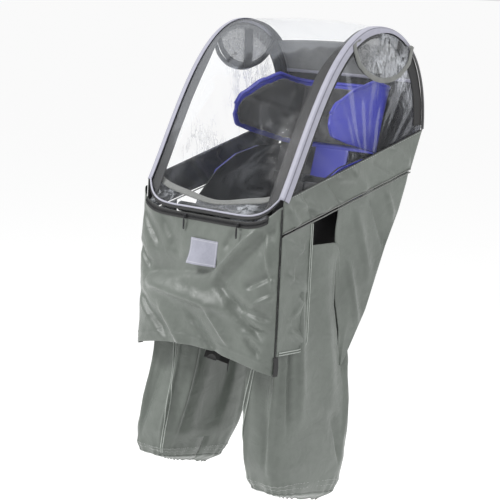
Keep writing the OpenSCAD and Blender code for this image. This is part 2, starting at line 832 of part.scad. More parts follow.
clamp_jaws();
clamp_caps();
clamp_bolts();
mount_bracket();
bracket_bolts();
support_stay();
stay_pad();
seat_shell();
seat_cushion();
back_cushion();
side_cheek();  // side_cheek_left
on_side(-1) side_cheek();  // side_cheek_right
head_guard();
head_pad();
head_guide();
head_lock();
guard_bar();
shoulder_straps();
crotch_strap();
buckle_body();
buckle_button();
leg_guard();  // leg_guard_left
on_side(-1) leg_guard();  // leg_guard_right
footrest();  // footrest_left
on_side(-1) footrest();  // footrest_right
foot_strap();  // foot_strap_left
on_side(-1) foot_strap();  // foot_strap_right
hoop_rod();  // hoop_left
on_side(-1) hoop_rod();  // hoop_right
front_window();
roof_window();
rear_panel();
side_window();  // side_window_left
on_side(-1) side_window();  // side_window_right
side_band();  // side_band_left
on_side(-1) side_band();  // side_band_right
side_panel();  // side_panel_left
on_side(-1) side_panel();  // side_panel_right
front_apron();
splash_guard();
zip_tape();
zip_slider(slider_left_x);  // zip_slider_left
zip_slider(slider_right_x);  // zip_slider_right
pull_tab(slider_left_x);  // pull_tab_left
pull_tab(slider_right_x);  // pull_tab_right
side_flap();  // side_flap_left
on_side(-1) side_flap();  // side_flap_right
leg_bag(0);  // leg_bag_left
on_side(-1) leg_bag(bag_kick);  // leg_bag_right
bag_cuff(0);  // bag_cuff_left
on_side(-1) bag_cuff(bag_kick);  // bag_cuff_right
bag_gather(0);  // bag_gather_left
on_side(-1) bag_gather(bag_kick);  // bag_gather_right
vent_mesh();  // vent_mesh_left
on_side(-1) vent_mesh();  // vent_mesh_right
vent_strap();  // vent_strap_left
on_side(-1) vent_strap();  // vent_strap_right
vent_hood();  // vent_hood_left
on_side(-1) vent_hood();  // vent_hood_right
label_patch();
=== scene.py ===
import math
import bpy
import bmesh
from mathutils import Matrix, Vector, noise


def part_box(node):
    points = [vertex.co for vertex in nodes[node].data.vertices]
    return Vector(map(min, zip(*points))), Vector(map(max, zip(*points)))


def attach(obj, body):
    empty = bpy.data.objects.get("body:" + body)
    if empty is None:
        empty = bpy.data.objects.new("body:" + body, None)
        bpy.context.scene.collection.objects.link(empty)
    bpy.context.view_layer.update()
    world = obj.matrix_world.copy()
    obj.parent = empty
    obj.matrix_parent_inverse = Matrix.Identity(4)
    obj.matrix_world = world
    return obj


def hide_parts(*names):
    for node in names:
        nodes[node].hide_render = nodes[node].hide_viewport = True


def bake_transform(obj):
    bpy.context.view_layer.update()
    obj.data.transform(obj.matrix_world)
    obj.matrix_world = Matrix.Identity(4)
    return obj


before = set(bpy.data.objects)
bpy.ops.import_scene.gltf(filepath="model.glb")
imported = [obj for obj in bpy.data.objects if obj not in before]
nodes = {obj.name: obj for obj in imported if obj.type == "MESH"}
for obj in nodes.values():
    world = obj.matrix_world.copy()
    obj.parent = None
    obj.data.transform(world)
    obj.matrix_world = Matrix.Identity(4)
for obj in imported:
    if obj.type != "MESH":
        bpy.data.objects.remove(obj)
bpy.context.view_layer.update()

rest = "seat_and_cover"
print("frame loaded:", len(nodes), "nodes")


def mix(a, b, t):
    return a + (b - a) * t


def ease(t):
    t = min(max(t, 0.0), 1.0)
    return t * t * (3 - 2 * t)


def between(value, low, high):
    return ease((value - low) / (high - low))


def onPath(points, t):  # the place a share t of the way through a list of points
    t = min(max(t, 0.0), 1.0) * (len(points) - 1)
    i = min(int(t), len(points) - 2)
    return Vector(points[i]).lerp(Vector(points[i + 1]), t - i)


def rumple(p, size, seed=0.0):  # soft noise from -1 to 1, in waves about size long
    return noise.noise(Vector((p[0] / size + seed, p[1] / size - seed, p[2] / size + 0.37 * seed)))


creaseGain = 1.55  # how much sharper the folds are than the listed heights


def crease(p, start, end, width, height):  # a ridge between two points of a flat sheet, steeper on one side
    a, q = Vector(start), Vector(p)
    d = Vector(end) - a
    t = (q - a).dot(d) / d.length_squared
    if t < -0.4 or t > 1.4:
        return 0.0
    side = (q - a) - d * t
    wide = width * (1.2 if d.x * side.y - d.y * side.x > 0 else 0.55)
    return creaseGain * height * math.exp(-(side.length / wide) ** 2) * between(t, -0.15,
            0.2) * (1 - between(t, 0.75, 1.15))


def outside(at, a, b):  # the outward-facing normal is up to the caller's order of a and b
    e = 0.004
    u = at(min(a + e, 1), b) - at(max(a - e, 0), b)
    v = at(a, min(b + e, 1)) - at(a, max(b - e, 0))
    n = u.cross(v)
    return n.normalized() if n.length > 1e-12 else Vector((0, 0, 0))


def raised(at, lift, flip=1):  # the same sheet with each point moved along its normal
    return lambda a, b: at(a, b) + outside(at, a, b) * (flip * lift(a, b))


def mirrored(at, side):
    return at if side > 0 else lambda a, b: Vector((-1, 1, 1)) * at(a, b)


def spread(at, across, down, facing, size=(1, 1), joined=False):  # a grid laid on the surface at(a, b)
    bm = bmesh.new()
    bm.loops.layers.uv.new("UVMap")
    bmesh.ops.create_grid(bm, x_segments=across, y_segments=down, size=0.5, calc_uvs=True)
    for v in bm.verts:
        v.co = at(v.co.x + 0.5, v.co.y + 0.5)
    layer = bm.loops.layers.uv.active
    for f in bm.faces:
        for loop in f.loops:
            loop[layer].uv = (loop[layer].uv.x * size[0], loop[layer].uv.y * size[1])
    if joined:
        bmesh.ops.remove_doubles(bm, verts=bm.verts, dist=1e-5)
    bm.normal_update()
    if sum(f.normal.dot(facing(f.calc_center_median())) * f.calc_area() for f in bm.faces) < 0:
        bmesh.ops.reverse_faces(bm, faces=bm.faces)
    return bm


def forward(_):  # a sheet that faces the front
    return Vector((0, -1, 0))


def sideways(side):  # a sheet that faces one side
    return lambda _: Vector((side, 0, 0))


def tube(path, radius, steps=60, sides=8, size=None):  # a round cord along path(t)
    length = size or 1.0

    def at(a, b):
        here, e = path(b), 0.004
        d = (path(min(b + e, 1)) - path(max(b - e, 0))).normalized()
        m = d.cross(Vector((0.31, 0.17, 0.94)) if abs(d.z) < 0.9 else Vector((1, 0, 0))).normalized()
        w = 2 * math.pi * a
        return here + (m * math.cos(w) + d.cross(m) * math.sin(w)) * radius
    bm = spread(at, sides, steps, lambda c: Vector((0, 0, 0)), (2 * math.pi * radius, length), joined=True)
    ends = [e for e in bm.edges if e.is_boundary]
    if ends:
        bmesh.ops.holes_fill(bm, edges=ends, sides=0)
    bmesh.ops.recalc_face_normals(bm, faces=bm.faces)
    return bm


def piece(name, bm, finish, body, stands=(), thick=0.0, grow=0, offset=-1.0, lining=None, bevel=0.0):
    mesh = bpy.data.meshes.new(name)
    bm.to_mesh(mesh)
    bm.free()
    obj = bpy.data.objects.new(name, mesh)
    bpy.context.scene.collection.objects.link(obj)
    mesh.materials.append(finish)
    for p in mesh.polygons:
        p.use_smooth = True
    if lining:
        mesh.materials.append(lining)
    if thick:
        m = obj.modifiers.new("thickness", "SOLIDIFY")
        m.thickness, m.offset = thick, offset
        m.use_even_offset = False
        if lining:
            m.material_offset = 1
            m.material_offset_rim = 0
    if bevel:
        m = obj.modifiers.new("edges", "BEVEL")
        m.width, m.segments, m.limit_method, m.angle_limit = bevel, 2, "ANGLE", math.radians(40)
    if grow:
        m = obj.modifiers.new("smooth", "SUBSURF")
        m.levels = m.render_levels = grow
    if body:
        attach(obj, body)
    if stands:
        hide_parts(*stands)
    return obj



class Wire:  # what comes out of a node, so that sums on it make nodes
    def __init__(self, paint, socket):
        self.paint, self.socket = paint, socket

    def sum(self, operation, *others):
        n = self.paint.node("ShaderNodeMath", {"operation": operation}, {i: v for i, v in enumerate((self,) + others)})
        return n

    def __add__(self, other): return self.sum("ADD", other)
    def __radd__(self, other): return self.sum("ADD", other)
    def __sub__(self, other): return self.sum("SUBTRACT", other)
    def __rsub__(self, other): return (self * -1).sum("ADD", other)
    def __mul__(self, other): return self.sum("MULTIPLY", other)
    def __rmul__(self, other): return self.sum("MULTIPLY", other)
    def __truediv__(self, other): return self.sum("DIVIDE", other)
    def __pow__(self, other): return self.sum("POWER", other)
    def sine(self): return self.sum("SINE")
    def size(self): return self.sum("ABSOLUTE")
    def held(self): return self.sum("MAXIMUM", 0.0).sum("MINIMUM", 1.0)

    def reach(self, low, high):  # 0 at low, 1 at high, smooth between
        return self.paint.node("ShaderNodeMapRange", {"interpolation_type": "SMOOTHSTEP"},
                               {"Value": self, "From Min": low, "From Max": high})


class Paint:
    def __init__(self, name, **fixed):
        self.material = bpy.data.materials.new(name)
        self.material.use_nodes = True
        self.tree = self.material.node_tree
        self.shader = self.tree.nodes["Principled BSDF"]
        for key, value in fixed.items():
            self.set(key.replace("_", " "), value)

    def node(self, kind, settings=None, inputs=None, output=0):
        n = self.tree.nodes.new(kind)
        for key, value in (settings or {}).items():
            if key == "stops":
                while len(n.color_ramp.elements) > 1:
                    n.color_ramp.elements.remove(n.color_ramp.elements[-1])
                for i, (place, colour) in enumerate(value):
                    e = n.color_ramp.elements[0] if i == 0 else n.color_ramp.elements.new(place)
                    e.position, e.color = place, colour
            else:
                setattr(n, key, value)
        for key, value in (inputs or {}).items():
            self.plug(n.inputs[key], value)
        return Wire(self, n.outputs[output])

    def plug(self, socket, value):
        if isinstance(value, Wire):
            self.tree.links.new(value.socket, socket)
        elif socket.type == "RGBA" and len(value) == 3:
            socket.default_value = (*value, 1)
        else:
            socket.default_value = value

    def set(self, name, value):
        self.plug(self.shader.inputs[name], value)
        return self

    def place(self, output="Object", stretch=(1, 1, 1), turn=(0, 0, 0)):
        at = self.node("ShaderNodeTexCoord", output=output)
        return self.node("ShaderNodeMapping", {}, {"Vector": at, "Scale": stretch, "Rotation": turn})

    def part(self, vector, axis):
        return self.node("ShaderNodeSeparateXYZ", {}, {"Vector": vector}, axis)

    def cloud(self, vector, scale, detail=3.0, rough=0.55, bend=0.0):
        return self.node("ShaderNodeTexNoise", {}, {"Vector": vector, "Scale": scale, "Detail": detail,
                                                    "Roughness": rough, "Distortion": bend})

    def blend(self, share, a, b):
        return self.node("ShaderNodeMix", {"data_type": "RGBA"}, {0: share, 6: a, 7: b}, 2)

    def bump(self, height, distance, strength=1.0, under=None):
        inputs = {"Height": height, "Distance": distance, "Strength": strength}
        if under:
            inputs["Normal"] = under
        return self.node("ShaderNodeBump", {}, inputs)


def coatedNylon(name, tone, worn, sheen=0.25, seed=0.0):  # plain-woven bag cloth with a soft shine
    p = Paint(name, Sheen_Weight=sheen, Sheen_Roughness=0.4, Specular_IOR_Level=0.55)
    spot = p.place(stretch=(1, 1, 1))
    wide = p.cloud(spot, 5.0 + seed, 3)
    fine = p.cloud(spot, 70.0, 4, 0.65)
    shade = (wide * 0.75 + fine * 0.25).reach(0.3, 0.72)
    p.set("Base Color", p.blend(shade, tone, worn))
    p.set("Roughness", 0.27 + wide * 0.16 + fine * 0.1)
    flat = p.place("UV")
    weave = (p.part(flat, 0) * 7854).sine() * (p.part(flat, 1) * 7854).sine()
    soft = p.bump(p.cloud(spot, 22.0, 4, 0.5, 0.8), 0.0042, 0.7)
    p.set("Normal", p.bump(weave, 0.00006, 0.35, soft))
    return p.material


def ribbedTape(name, tone, worn, rough=0.55, ribs=4200.0, sheen=0.15):  # binding and webbing, woven across
    p = Paint(name, Sheen_Weight=sheen, Sheen_Roughness=0.5)
    flat = p.place("UV")
    spot = p.place()
    grain = p.cloud(spot, 60.0, 3)
    rib = (p.part(flat, 1) * ribs).sine() * 0.5 + 0.5
    p.set("Base Color", p.blend((rib * 0.35 + grain * 0.6).held(), tone, worn))
    p.set("Roughness", rough + grain * 0.15)
    p.set("Normal", p.bump(rib * 0.6 + grain * 0.8, 0.00035, 0.6))
    return p.material


def mouldedPlastic(name, tone, edge, rough=0.38, coat=0.0, grain=900.0, depth=0.00012):
    p = Paint(name, Coat_Roughness=0.2)
    spot = p.place()
    wide = p.cloud(spot, 7.0, 3)
    fine = p.cloud(spot, grain, 2, 0.6)
    scuff = p.cloud(p.place(stretch=(1, 1, 6)), 34.0, 5, 0.7).reach(0.63, 0.75)
    p.set("Base Color", p.blend((wide * 0.5 + scuff * 0.5).held(), tone, edge))
    p.set("Roughness", rough + wide * 0.08 + scuff * 0.14)
    p.set("Normal", p.bump(fine, depth, 0.5))
    p.set("Coat Weight", coat)
    return p.material


def paddedMesh(name, tone, worn):  # knitted spacer cloth on the pads
    p = Paint(name, Sheen_Weight=0.35, Sheen_Roughness=0.6)
    spot = p.place()
    cells = p.node("ShaderNodeTexVoronoi", {"feature": "DISTANCE_TO_EDGE"}, {"Vector": spot, "Scale": 330.0})
    wide = p.cloud(spot, 9.0, 3)
    p.set("Base Color", p.blend((cells * 2.2 + wide * 0.4).held(), tone, worn))
    p.set("Roughness", 0.78 + wide * 0.15)
    p.set("Normal", p.bump(cells, 0.0012, 0.7, p.bump(wide, 0.004, 0.3)))
    return p.material


def brushedSteel(name, tone, dull, rough=0.3):
    p = Paint(name, Metallic=1.0)
    spot = p.place()
    lines = p.cloud(p.place(stretch=(1, 12, 12)), 60.0, 4)
    stain = p.cloud(spot, 22.0, 4)
    p.set("Base Color", p.blend((stain * 0.7 + lines * 0.3).held(), tone, dull))
    p.set("Roughness", rough + lines * 0.16)
    p.set("Normal", p.bump(lines, 0.0001, 0.4))
    return p.material


def clearVinyl(name, tint, base, haze, paintedCreaseGlint, seed=0.0, stretch=(1, 1, 1), scale=9.0):
    p = Paint(name, Base_Color=tint, Specular_IOR_Level=0.75, Coat_Roughness=0.05, IOR=1.5)
    spot = p.place(stretch=stretch)
    cloudy = p.cloud(p.place(), 4.0 + seed, 3)
    streak = p.cloud(spot, scale + seed, 5, 0.6, 1.4)
    ridge = 1.0 - (streak - 0.5).size() * 14.0
    glance = p.node("ShaderNodeLayerWeight", {}, {"Blend": 0.2}, 0)
    # alpha rises toward grazing angles (glance) and along the ridge streaks, so the white tint paints reflections
    # there: a painted glancing sheen and painted crease reflections; haze adds random milky cloud
    p.set("Alpha", (base + glance * 0.13 + cloudy.reach(0.4,
                                                        0.75) * haze + ridge.held() * paintedCreaseGlint * cloudy.reach(0.42, 0.62)).held())
    p.set("Roughness", 0.07 + cloudy * 0.12)
    p.set("Normal", p.bump(streak, 0.004, 0.35))
    p.set("Coat Weight", 0.5)
    return p.material


finish = {
    "cover": coatedNylon("cover_cloth", (0.094, 0.107, 0.094), (0.140, 0.157, 0.140)),
    # the inside face of the cover cloth is painted near black: painted shade for the shadowed inside of the cover
    "lining": coatedNylon("cover_lining_painted_shade", (0.012, 0.012, 0.013), (0.022, 0.023, 0.024), 0.1),
    "rear": coatedNylon("rear_cloth", (0.10, 0.104, 0.104), (0.16, 0.166, 0.166), 0.2),
    "tape": ribbedTape("black_binding", (0.005, 0.005, 0.0055), (0.016, 0.016, 0.017), sheen=0.04),
    "greyTape": ribbedTape("grey_binding", (0.12, 0.125, 0.118), (0.2, 0.205, 0.195)),
    "strap": ribbedTape("harness_webbing", (0.005, 0.005, 0.0055), (0.016, 0.016, 0.017), 0.62, 2600.0, 0.04),
    "blue": mouldedPlastic("blue_plastic", (0.026, 0.03, 0.36), (0.055, 0.065, 0.5), 0.3, 0.15),
    "shell": mouldedPlastic("shell_plastic", (0.006, 0.006, 0.0065), (0.018, 0.018, 0.019), 0.46),
    "cast": mouldedPlastic("cast_black", (0.014, 0.014, 0.015), (0.04, 0.04, 0.042), 0.45, 0.0, 400.0, 0.0003),
    "rubber": mouldedPlastic("pad_rubber", (0.01, 0.01, 0.01), (0.028, 0.027, 0.026), 0.7),
    "button": mouldedPlastic("button_plastic", (0.45, 0.02, 0.015), (0.6, 0.05, 0.035), 0.34),
    "pad": paddedMesh("padding_cloth", (0.004, 0.004, 0.0045), (0.015, 0.015, 0.0165)),
    "bolt": brushedSteel("bolt_steel", (0.62, 0.62, 0.6), (0.42, 0.41, 0.39)),
    "bracket": brushedSteel("bracket_steel", (0.3, 0.3, 0.3), (0.16, 0.16, 0.16), 0.42),
    "zip": brushedSteel("zip_metal", (0.06, 0.06, 0.065), (0.03, 0.03, 0.03), 0.35),
    # the last three numbers are base alpha, haze and the strength of the painted crease reflections
    "clear": clearVinyl("clear_sheet", (0.80, 0.84, 0.90), 0.004, 0.016, 0.02),
    "clearSide": clearVinyl("clear_side", (0.74, 0.77, 0.82), 0.012, 0.035, 0.26, 3.0, (1, 2.6, 0.8), 11.0),
    "clearHood": clearVinyl("clear_hood", (0.74, 0.77, 0.82), 0.006, 0.016, 0.28, 5.0, (1, 3.0, 0.9), 16.0),
}
print("finishes made:", len(finish))


def reflectiveTape():  # lavender-grey piping on the hoops, black where it runs down the back
    p = Paint("reflective_piping", Sheen_Weight=0.2)
    flat = p.place("UV")
    acrossIt, alongIt = p.part(flat, 0), p.part(flat, 1)
    spot = p.place()
    grain = p.cloud(spot, 90.0, 3)
    groove = 1.0 - ((acrossIt - 0.0125).size() * 900.0).held()
    dark = (alongIt + grain * 0.02).reach(0.50, 0.60)
    light = p.blend(grain, (0.26, 0.26, 0.32), (0.36, 0.36, 0.43))
    p.set("Base Color", p.blend((groove * 0.75 + dark).held(), light, (0.018, 0.018, 0.02)))
    p.set("Roughness", 0.36 + grain * 0.2)
    p.set("Normal", p.bump(groove * -1.0 + (alongIt * 3500.0).sine() * 0.12, 0.0006, 0.7))
    return p.material


def stitchThread():
    p = Paint("stitch_thread", Base_Color=(0.5, 0.52, 0.5), Sheen_Weight=0.4)
    twist = (p.part(p.place("UV"), 0) * 9000.0).sine()
    p.set("Roughness", 0.6 + twist * 0.05)
    p.set("Normal", p.bump(twist, 0.0001, 0.5))
    return p.material


def lightPiping():
    p = Paint("light_piping", Sheen_Weight=0.3)
    grain = p.cloud(p.place(), 120.0, 3)
    p.set("Base Color", p.blend(grain, (0.25, 0.275, 0.25), (0.38, 0.41, 0.38)))
    p.set("Roughness", 0.4 + grain * 0.2)
    p.set("Normal", p.bump(grain, 0.0003, 0.5))
    return p.material


def lavenderPiping():
    p = Paint("lavender_piping", Sheen_Weight=0.2)
    grain = p.cloud(p.place(), 110.0, 3)
    p.set("Base Color", p.blend(grain, (0.30, 0.30, 0.36), (0.42, 0.42, 0.49)))
    p.set("Roughness", 0.38 + grain * 0.2)
    p.set("Normal", p.bump(grain, 0.0003, 0.5))
    return p.material


def netting():  # black net whose holes are open
    p = Paint("vent_net", Roughness=0.7)
    flat = p.place("UV")
    u, v = (p.part(flat, 0) * 2600.0).sine(), (p.part(flat, 1) * 2600.0).sine()
    weave = u.sum("MAXIMUM", v)
    grain = p.cloud(p.place(), 260.0, 2)
    p.set("Alpha", (0.42 + weave.reach(0.2, 0.9) * 0.22 + grain.reach(0.45, 0.7) * 0.25).held())
    p.set("Base Color", p.blend(grain, (0.10, 0.105, 0.105), (0.34, 0.345, 0.345)))
    p.set("Normal", p.bump(weave, 0.0003, 0.5))
    return p.material


def wovenLabel():
    p = Paint("label_cloth", Sheen_Weight=0.3)
    flat = p.place("UV")
    u, v = p.part(flat, 0), p.part(flat, 1)
    grain = p.cloud(p.place(), 150.0, 3)
    rib = (v * 6000.0).sine() * 0.5 + 0.5
    border = ((u - 0.5).size() - 0.455).size().sum("MINIMUM", ((v - 0.5).size() - 0.43).size() * 0.7)
    line = 1.0 - (border * 90.0).held()
    tone = p.blend((grain * 0.7 + rib * 0.3).held(), (0.24, 0.245, 0.30), (0.33, 0.335, 0.40))
    p.set("Base Color", p.blend(line * 0.6, tone, (0.62, 0.62, 0.66)))
    p.set("Roughness", 0.5 + grain * 0.2)
    p.set("Normal", p.bump(rib * 0.5 + line, 0.0004, 0.6))
    return p.material


finish.update(lavender=lavenderPiping(), piping=reflectiveTape(), thread=stitchThread(),
              lightPiping=lightPiping(), net=netting(), label=wovenLabel())

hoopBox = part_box("hoop_left")
hoop = {
    "front": hoopBox[0].y, "back": hoopBox[1].y, "low": hoopBox[0].z + 0.004, "top": hoopBox[1].z,
    "rise": ((0.0, 0.0), (0.156, 0.375), (0.309, 0.986), (0.606, 1.0)),
    "fall": ((0.606, 1.0), (0.835, 1.012), (1.0, 0.793), (1.0, 0.378)),
    "brow": 0.8, "roofEnd": 1.47, "crown": 0.010,
    "side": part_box("side_window_left")[1].x, "sheetSide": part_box("front_window")[1].x,
}
windowBox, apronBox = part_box("front_window"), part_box("front_apron")


def hoopAt(u):
    a, b, c, d = hoop["rise"] if u <= 1 else hoop["fall"]
    t = u if u <= 1 else u - 1
    k = ((1 - t) ** 3, 3 * t * (1 - t) ** 2, 3 * t * t * (1 - t), t ** 3)
    y, z = (sum(w * p[i] for w, p in zip(k, (a, b, c, d))) for i in (0, 1))
    return Vector((0, mix(hoop["front"], hoop["back"], y), mix(hoop["low"], hoop["top"], z)))


def hoopOut(u):
    d = (hoopAt(min(u + 0.01, 2)) - hoopAt(max(u - 0.01, 0))).normalized()
    return Vector((0, -d.z, d.y))


def sheetAt(u, s, depth):  # between the hoops: u along them, s from -1 to 1 across
    bow = hoop["crown"] * (1 - s * s) * min(1, 0.6 + u)
    p = hoopAt(u) + hoopOut(u) * (bow - depth)
    p.x = s * hoop["sheetSide"]
    return p


cornerRise = hoop["low"] - windowBox[0].z


def windowAt(v, s, depth):  # the front runs on below the hoops to the zip, with rounded corners
    q = sheetAt(v * hoop["brow"], s, depth)
    drop = cornerRise * (1 - abs(s) ** 7) * (1 - v) ** 3
    return q - Vector((0, drop * 0.45, drop))


def clearAt(t, s, depth=0.0):  # front and roof as one sheet
    u = t * hoop["roofEnd"]
    return windowAt(u / hoop["brow"], s, depth) if u < hoop["brow"] else sheetAt(u, s, depth)


def pathLength(path, steps=60):
    return sum((path((i + 1) / steps) - path(i / steps)).length for i in range(steps))


clearSheet = {"thick": 0.0006, "ripple": 0.0022, "long": pathLength(lambda t: clearAt(t, 0)),
              "wide": 2 * hoop["sheetSide"]}


def clearRipple(a, b):
    s, held = 2 * a - 1, (1 - (2 * a - 1) ** 4) * between(b, 0.0, 0.08)
    p = clearAt(b, s)
    return clearSheet["ripple"] * held * (rumple(p, 0.11, 3) + 0.45 * rumple(p, 0.035, 8))


def rippledAt(t, s, depth=0.0):
    return clearAt(t, s, depth) + hoopOut(t * hoop["roofEnd"]) * clearRipple((s + 1) / 2, t)


browLine = hoopAt(hoop["brow"]) + hoopOut(hoop["brow"]) * hoop["crown"]
foldStart, foldEnd = browLine + Vector((0, 0.011, 0.005)), browLine - Vector((0, 0.011, 0.005))
outward = lambda c: c - Vector((0, 0.2, 0.15))
front = piece("clear_front_and_roof", spread(lambda a, b: rippledAt(b, 2 * a - 1), 44, 110, outward,
              (clearSheet["wide"], clearSheet["long"])), finish["clear"], None, ("front_window", "roof_window"),
              clearSheet["thick"])
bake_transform(front)
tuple(foldStart)
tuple(foldEnd)
print("clear front and roof spread")

edgeTape = {"front": 0.034, "roof": 0.016, "thick": 0.0009, "depth": 0.0018}


def edgeTapeAt(side):
    def at(a, b):
        t = mix(0.012, 0.995, b)
        width = mix(edgeTape["front"], edgeTape["roof"], between(t, 0.36, 0.56)) / hoop["sheetSide"]
        p = rippledAt(t, side * (1 - width * (1 - a)), edgeTape["depth"])
        return p + hoopOut(t * hoop["roofEnd"]) * 0.0005 * rumple(p, 0.03, side)
    return at


for side, word in ((1, "left"), (-1, "right")):
    tapeEdge = piece(f"window_edge_tape_{word}", spread(edgeTapeAt(side), 6, 110, outward, (0.03, clearSheet["long"])),
                     finish["tape"], None, (), edgeTape["thick"])
    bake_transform(tapeEdge)
    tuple(foldStart)
    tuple(foldEnd)

bottomTape = {"tall": 0.0085, "thick": 0.001, "piping": 0.0020}


def bottomTapeAt(a, b):
    s = 2 * a - 1
    p = windowAt(0.0, s, -0.0006)
    up = (windowAt(0.05, s, -0.0006) - p).normalized()
    return p + up * bottomTape["tall"] * (b - 0.08) + Vector((0, -0.0006 - 0.0006 * rumple(p, 0.03, 5), 0))


def bottomPipingPath(t):
    return bottomTapeAt(mix(0.004, 0.996, t), 1.0) + Vector((0, -0.0008, 0.0004))


piece("window_bottom_tape", spread(bottomTapeAt, 90, 4, forward, (0.4, 0.011)), finish["tape"], "window",
      (), bottomTape["thick"])
piece("window_bottom_piping", tube(bottomPipingPath, bottomTape["piping"], 120, 8, 0.4), finish["lavender"],
      "window")

# reflective piping wraps the corner between the front sheet and the side window, all the way round the hoop
hoopPiping = {"wrap": ((0.0016, 0.0135), (0.0019, 0.009), (0.0018, 0.0045), (0.0008, 0.0006),
                       (-0.0034, -0.0010), (-0.0080, -0.0009), (-0.0125, -0.0004))}
for side, word in ((1, "left"), (-1, "right")):
    def wrapAt(a, b, side=side):
        u = mix(0.0, 2.0, b)
        dx, deep = onPath([Vector((x, d, 0)) for x, d in hoopPiping["wrap"]], a)[:2]
        narrow = mix(1.0, 0.55, between(u, 0.9, 1.2))
        bow = hoop["crown"] * (1 - ((hoop["side"] + dx) / (hoop["side"] + 0.002)) ** 2) if dx < 0 else 0
        p = hoopAt(u) + hoopOut(u) * (bow - deep * (narrow if deep > 0 else 1))
        p.x = side * (hoop["side"] + dx * (narrow if dx < 0 else 1))
        return p
    round_ = pathLength(lambda t: hoopAt(2 * t))
    piece(f"hoop_piping_{word}", spread(wrapAt, 12, 150, lambda c,
                                        side=side: Vector((side, 0, 0)) + (c - Vector((c.x, 0.2, 0.2))),
          (0.025, round_)), finish["piping"], rest, (f"hoop_{word}",), 0.0012, offset=1.0)
print("hoops bound and piped")

sill = {"front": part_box("side_band_left")[0].y, "back": hoop["back"], "low": hoop["low"] + 0.001,
        "high": mix(hoop["low"], hoop["top"], 0.378)}


def sillAt(y):
    return mix(sill["low"], sill["high"], (y - sill["front"]) / (sill["back"] - sill["front"]))


def sideTapeWidth(u):
    return mix(0.013, 0.027, between(u, 0.95, 1.35))


sideWindow = {"thick": 0.0006, "crumple": 0.0042}
for side, word in ((1, "left"), (-1, "right")):
    def windowSide(a, b, side=side):
        u = mix(0.03, 1.97, a)
        top = hoopAt(u) - hoopOut(u) * 0.007
        y = mix(sill["front"] + 0.012, sill["back"] - 0.004, a)
        p = Vector((0, y, sillAt(y) - 0.002)).lerp(top, b)
        held = math.sin(math.pi * min(max(a, 0), 1)) ** 0.5 * math.sin(math.pi * b) ** 0.5
        fan = math.atan2(p.z - 0.12, p.y - 0.24)
        folds = rumple((fan * 0.14, 0.02, (p.z + p.y) * 0.10), 0.03,
                       2 + side) + 0.5 * rumple((fan * 0.3, 0, p.z * 0.3), 0.03, 9)
        p.x = side * (hoop["side"] - 0.0014 + sideWindow["crumple"] * held * folds)
        return p
    sheet = piece(f"clear_side_{word}", spread(windowSide, 96, 60, sideways(side), (0.5, 0.3)),
                  finish["clearSide"], rest, (f"side_window_{word}",), sideWindow["thick"])

    def sideTape(a, b, side=side):
        u = mix(0.02, 1.98, b)
        p = hoopAt(u) - hoopOut(u) * mix(0.008, 0.008 + sideTapeWidth(u), a)
        p.z = max(p.z, sillAt(p.y))
        p.x = side * (hoop["side"] + 0.0004 + 0.0008 * rumple(p, 0.05, side))
        return p
    piece(f"side_window_tape_{word}", spread(sideTape, 5, 130, sideways(side), (0.02, 0.9)),
          finish["tape"], rest, (), 0.0009)
print("clear sides hung")

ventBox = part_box("vent_mesh_left")
vent = {"front": ventBox[0].y, "back": ventBox[1].y, "low": ventBox[0].z, "uFront": 0.82, "uBack": 1.42, "inset": 0.011}


def ventLow(a, grow=0.0):
    w = math.pi * a
    y = mix(vent["front"] - grow, vent["back"] + grow, 0.5 - 0.5 * math.cos(w))
    top = hoopAt(mix(vent["uFront"], vent["uBack"], a)) - hoopOut(mix(vent["uFront"], vent["uBack"], a)) * vent["inset"]
    z = hoop["top"] - 0.014 - (hoop["top"] - 0.014 - vent["low"] + grow) * math.sin(w) ** 0.85
    return Vector((0, mix(top.y, y, min(1, 6 * math.sin(w))), min(z, top.z)))


def ventAt(a, b, grow=0.0):
    u = mix(vent["uFront"], vent["uBack"], a)
    top = hoopAt(u) - hoopOut(u) * vent["inset"]
    return ventLow(a, grow).lerp(top, b)


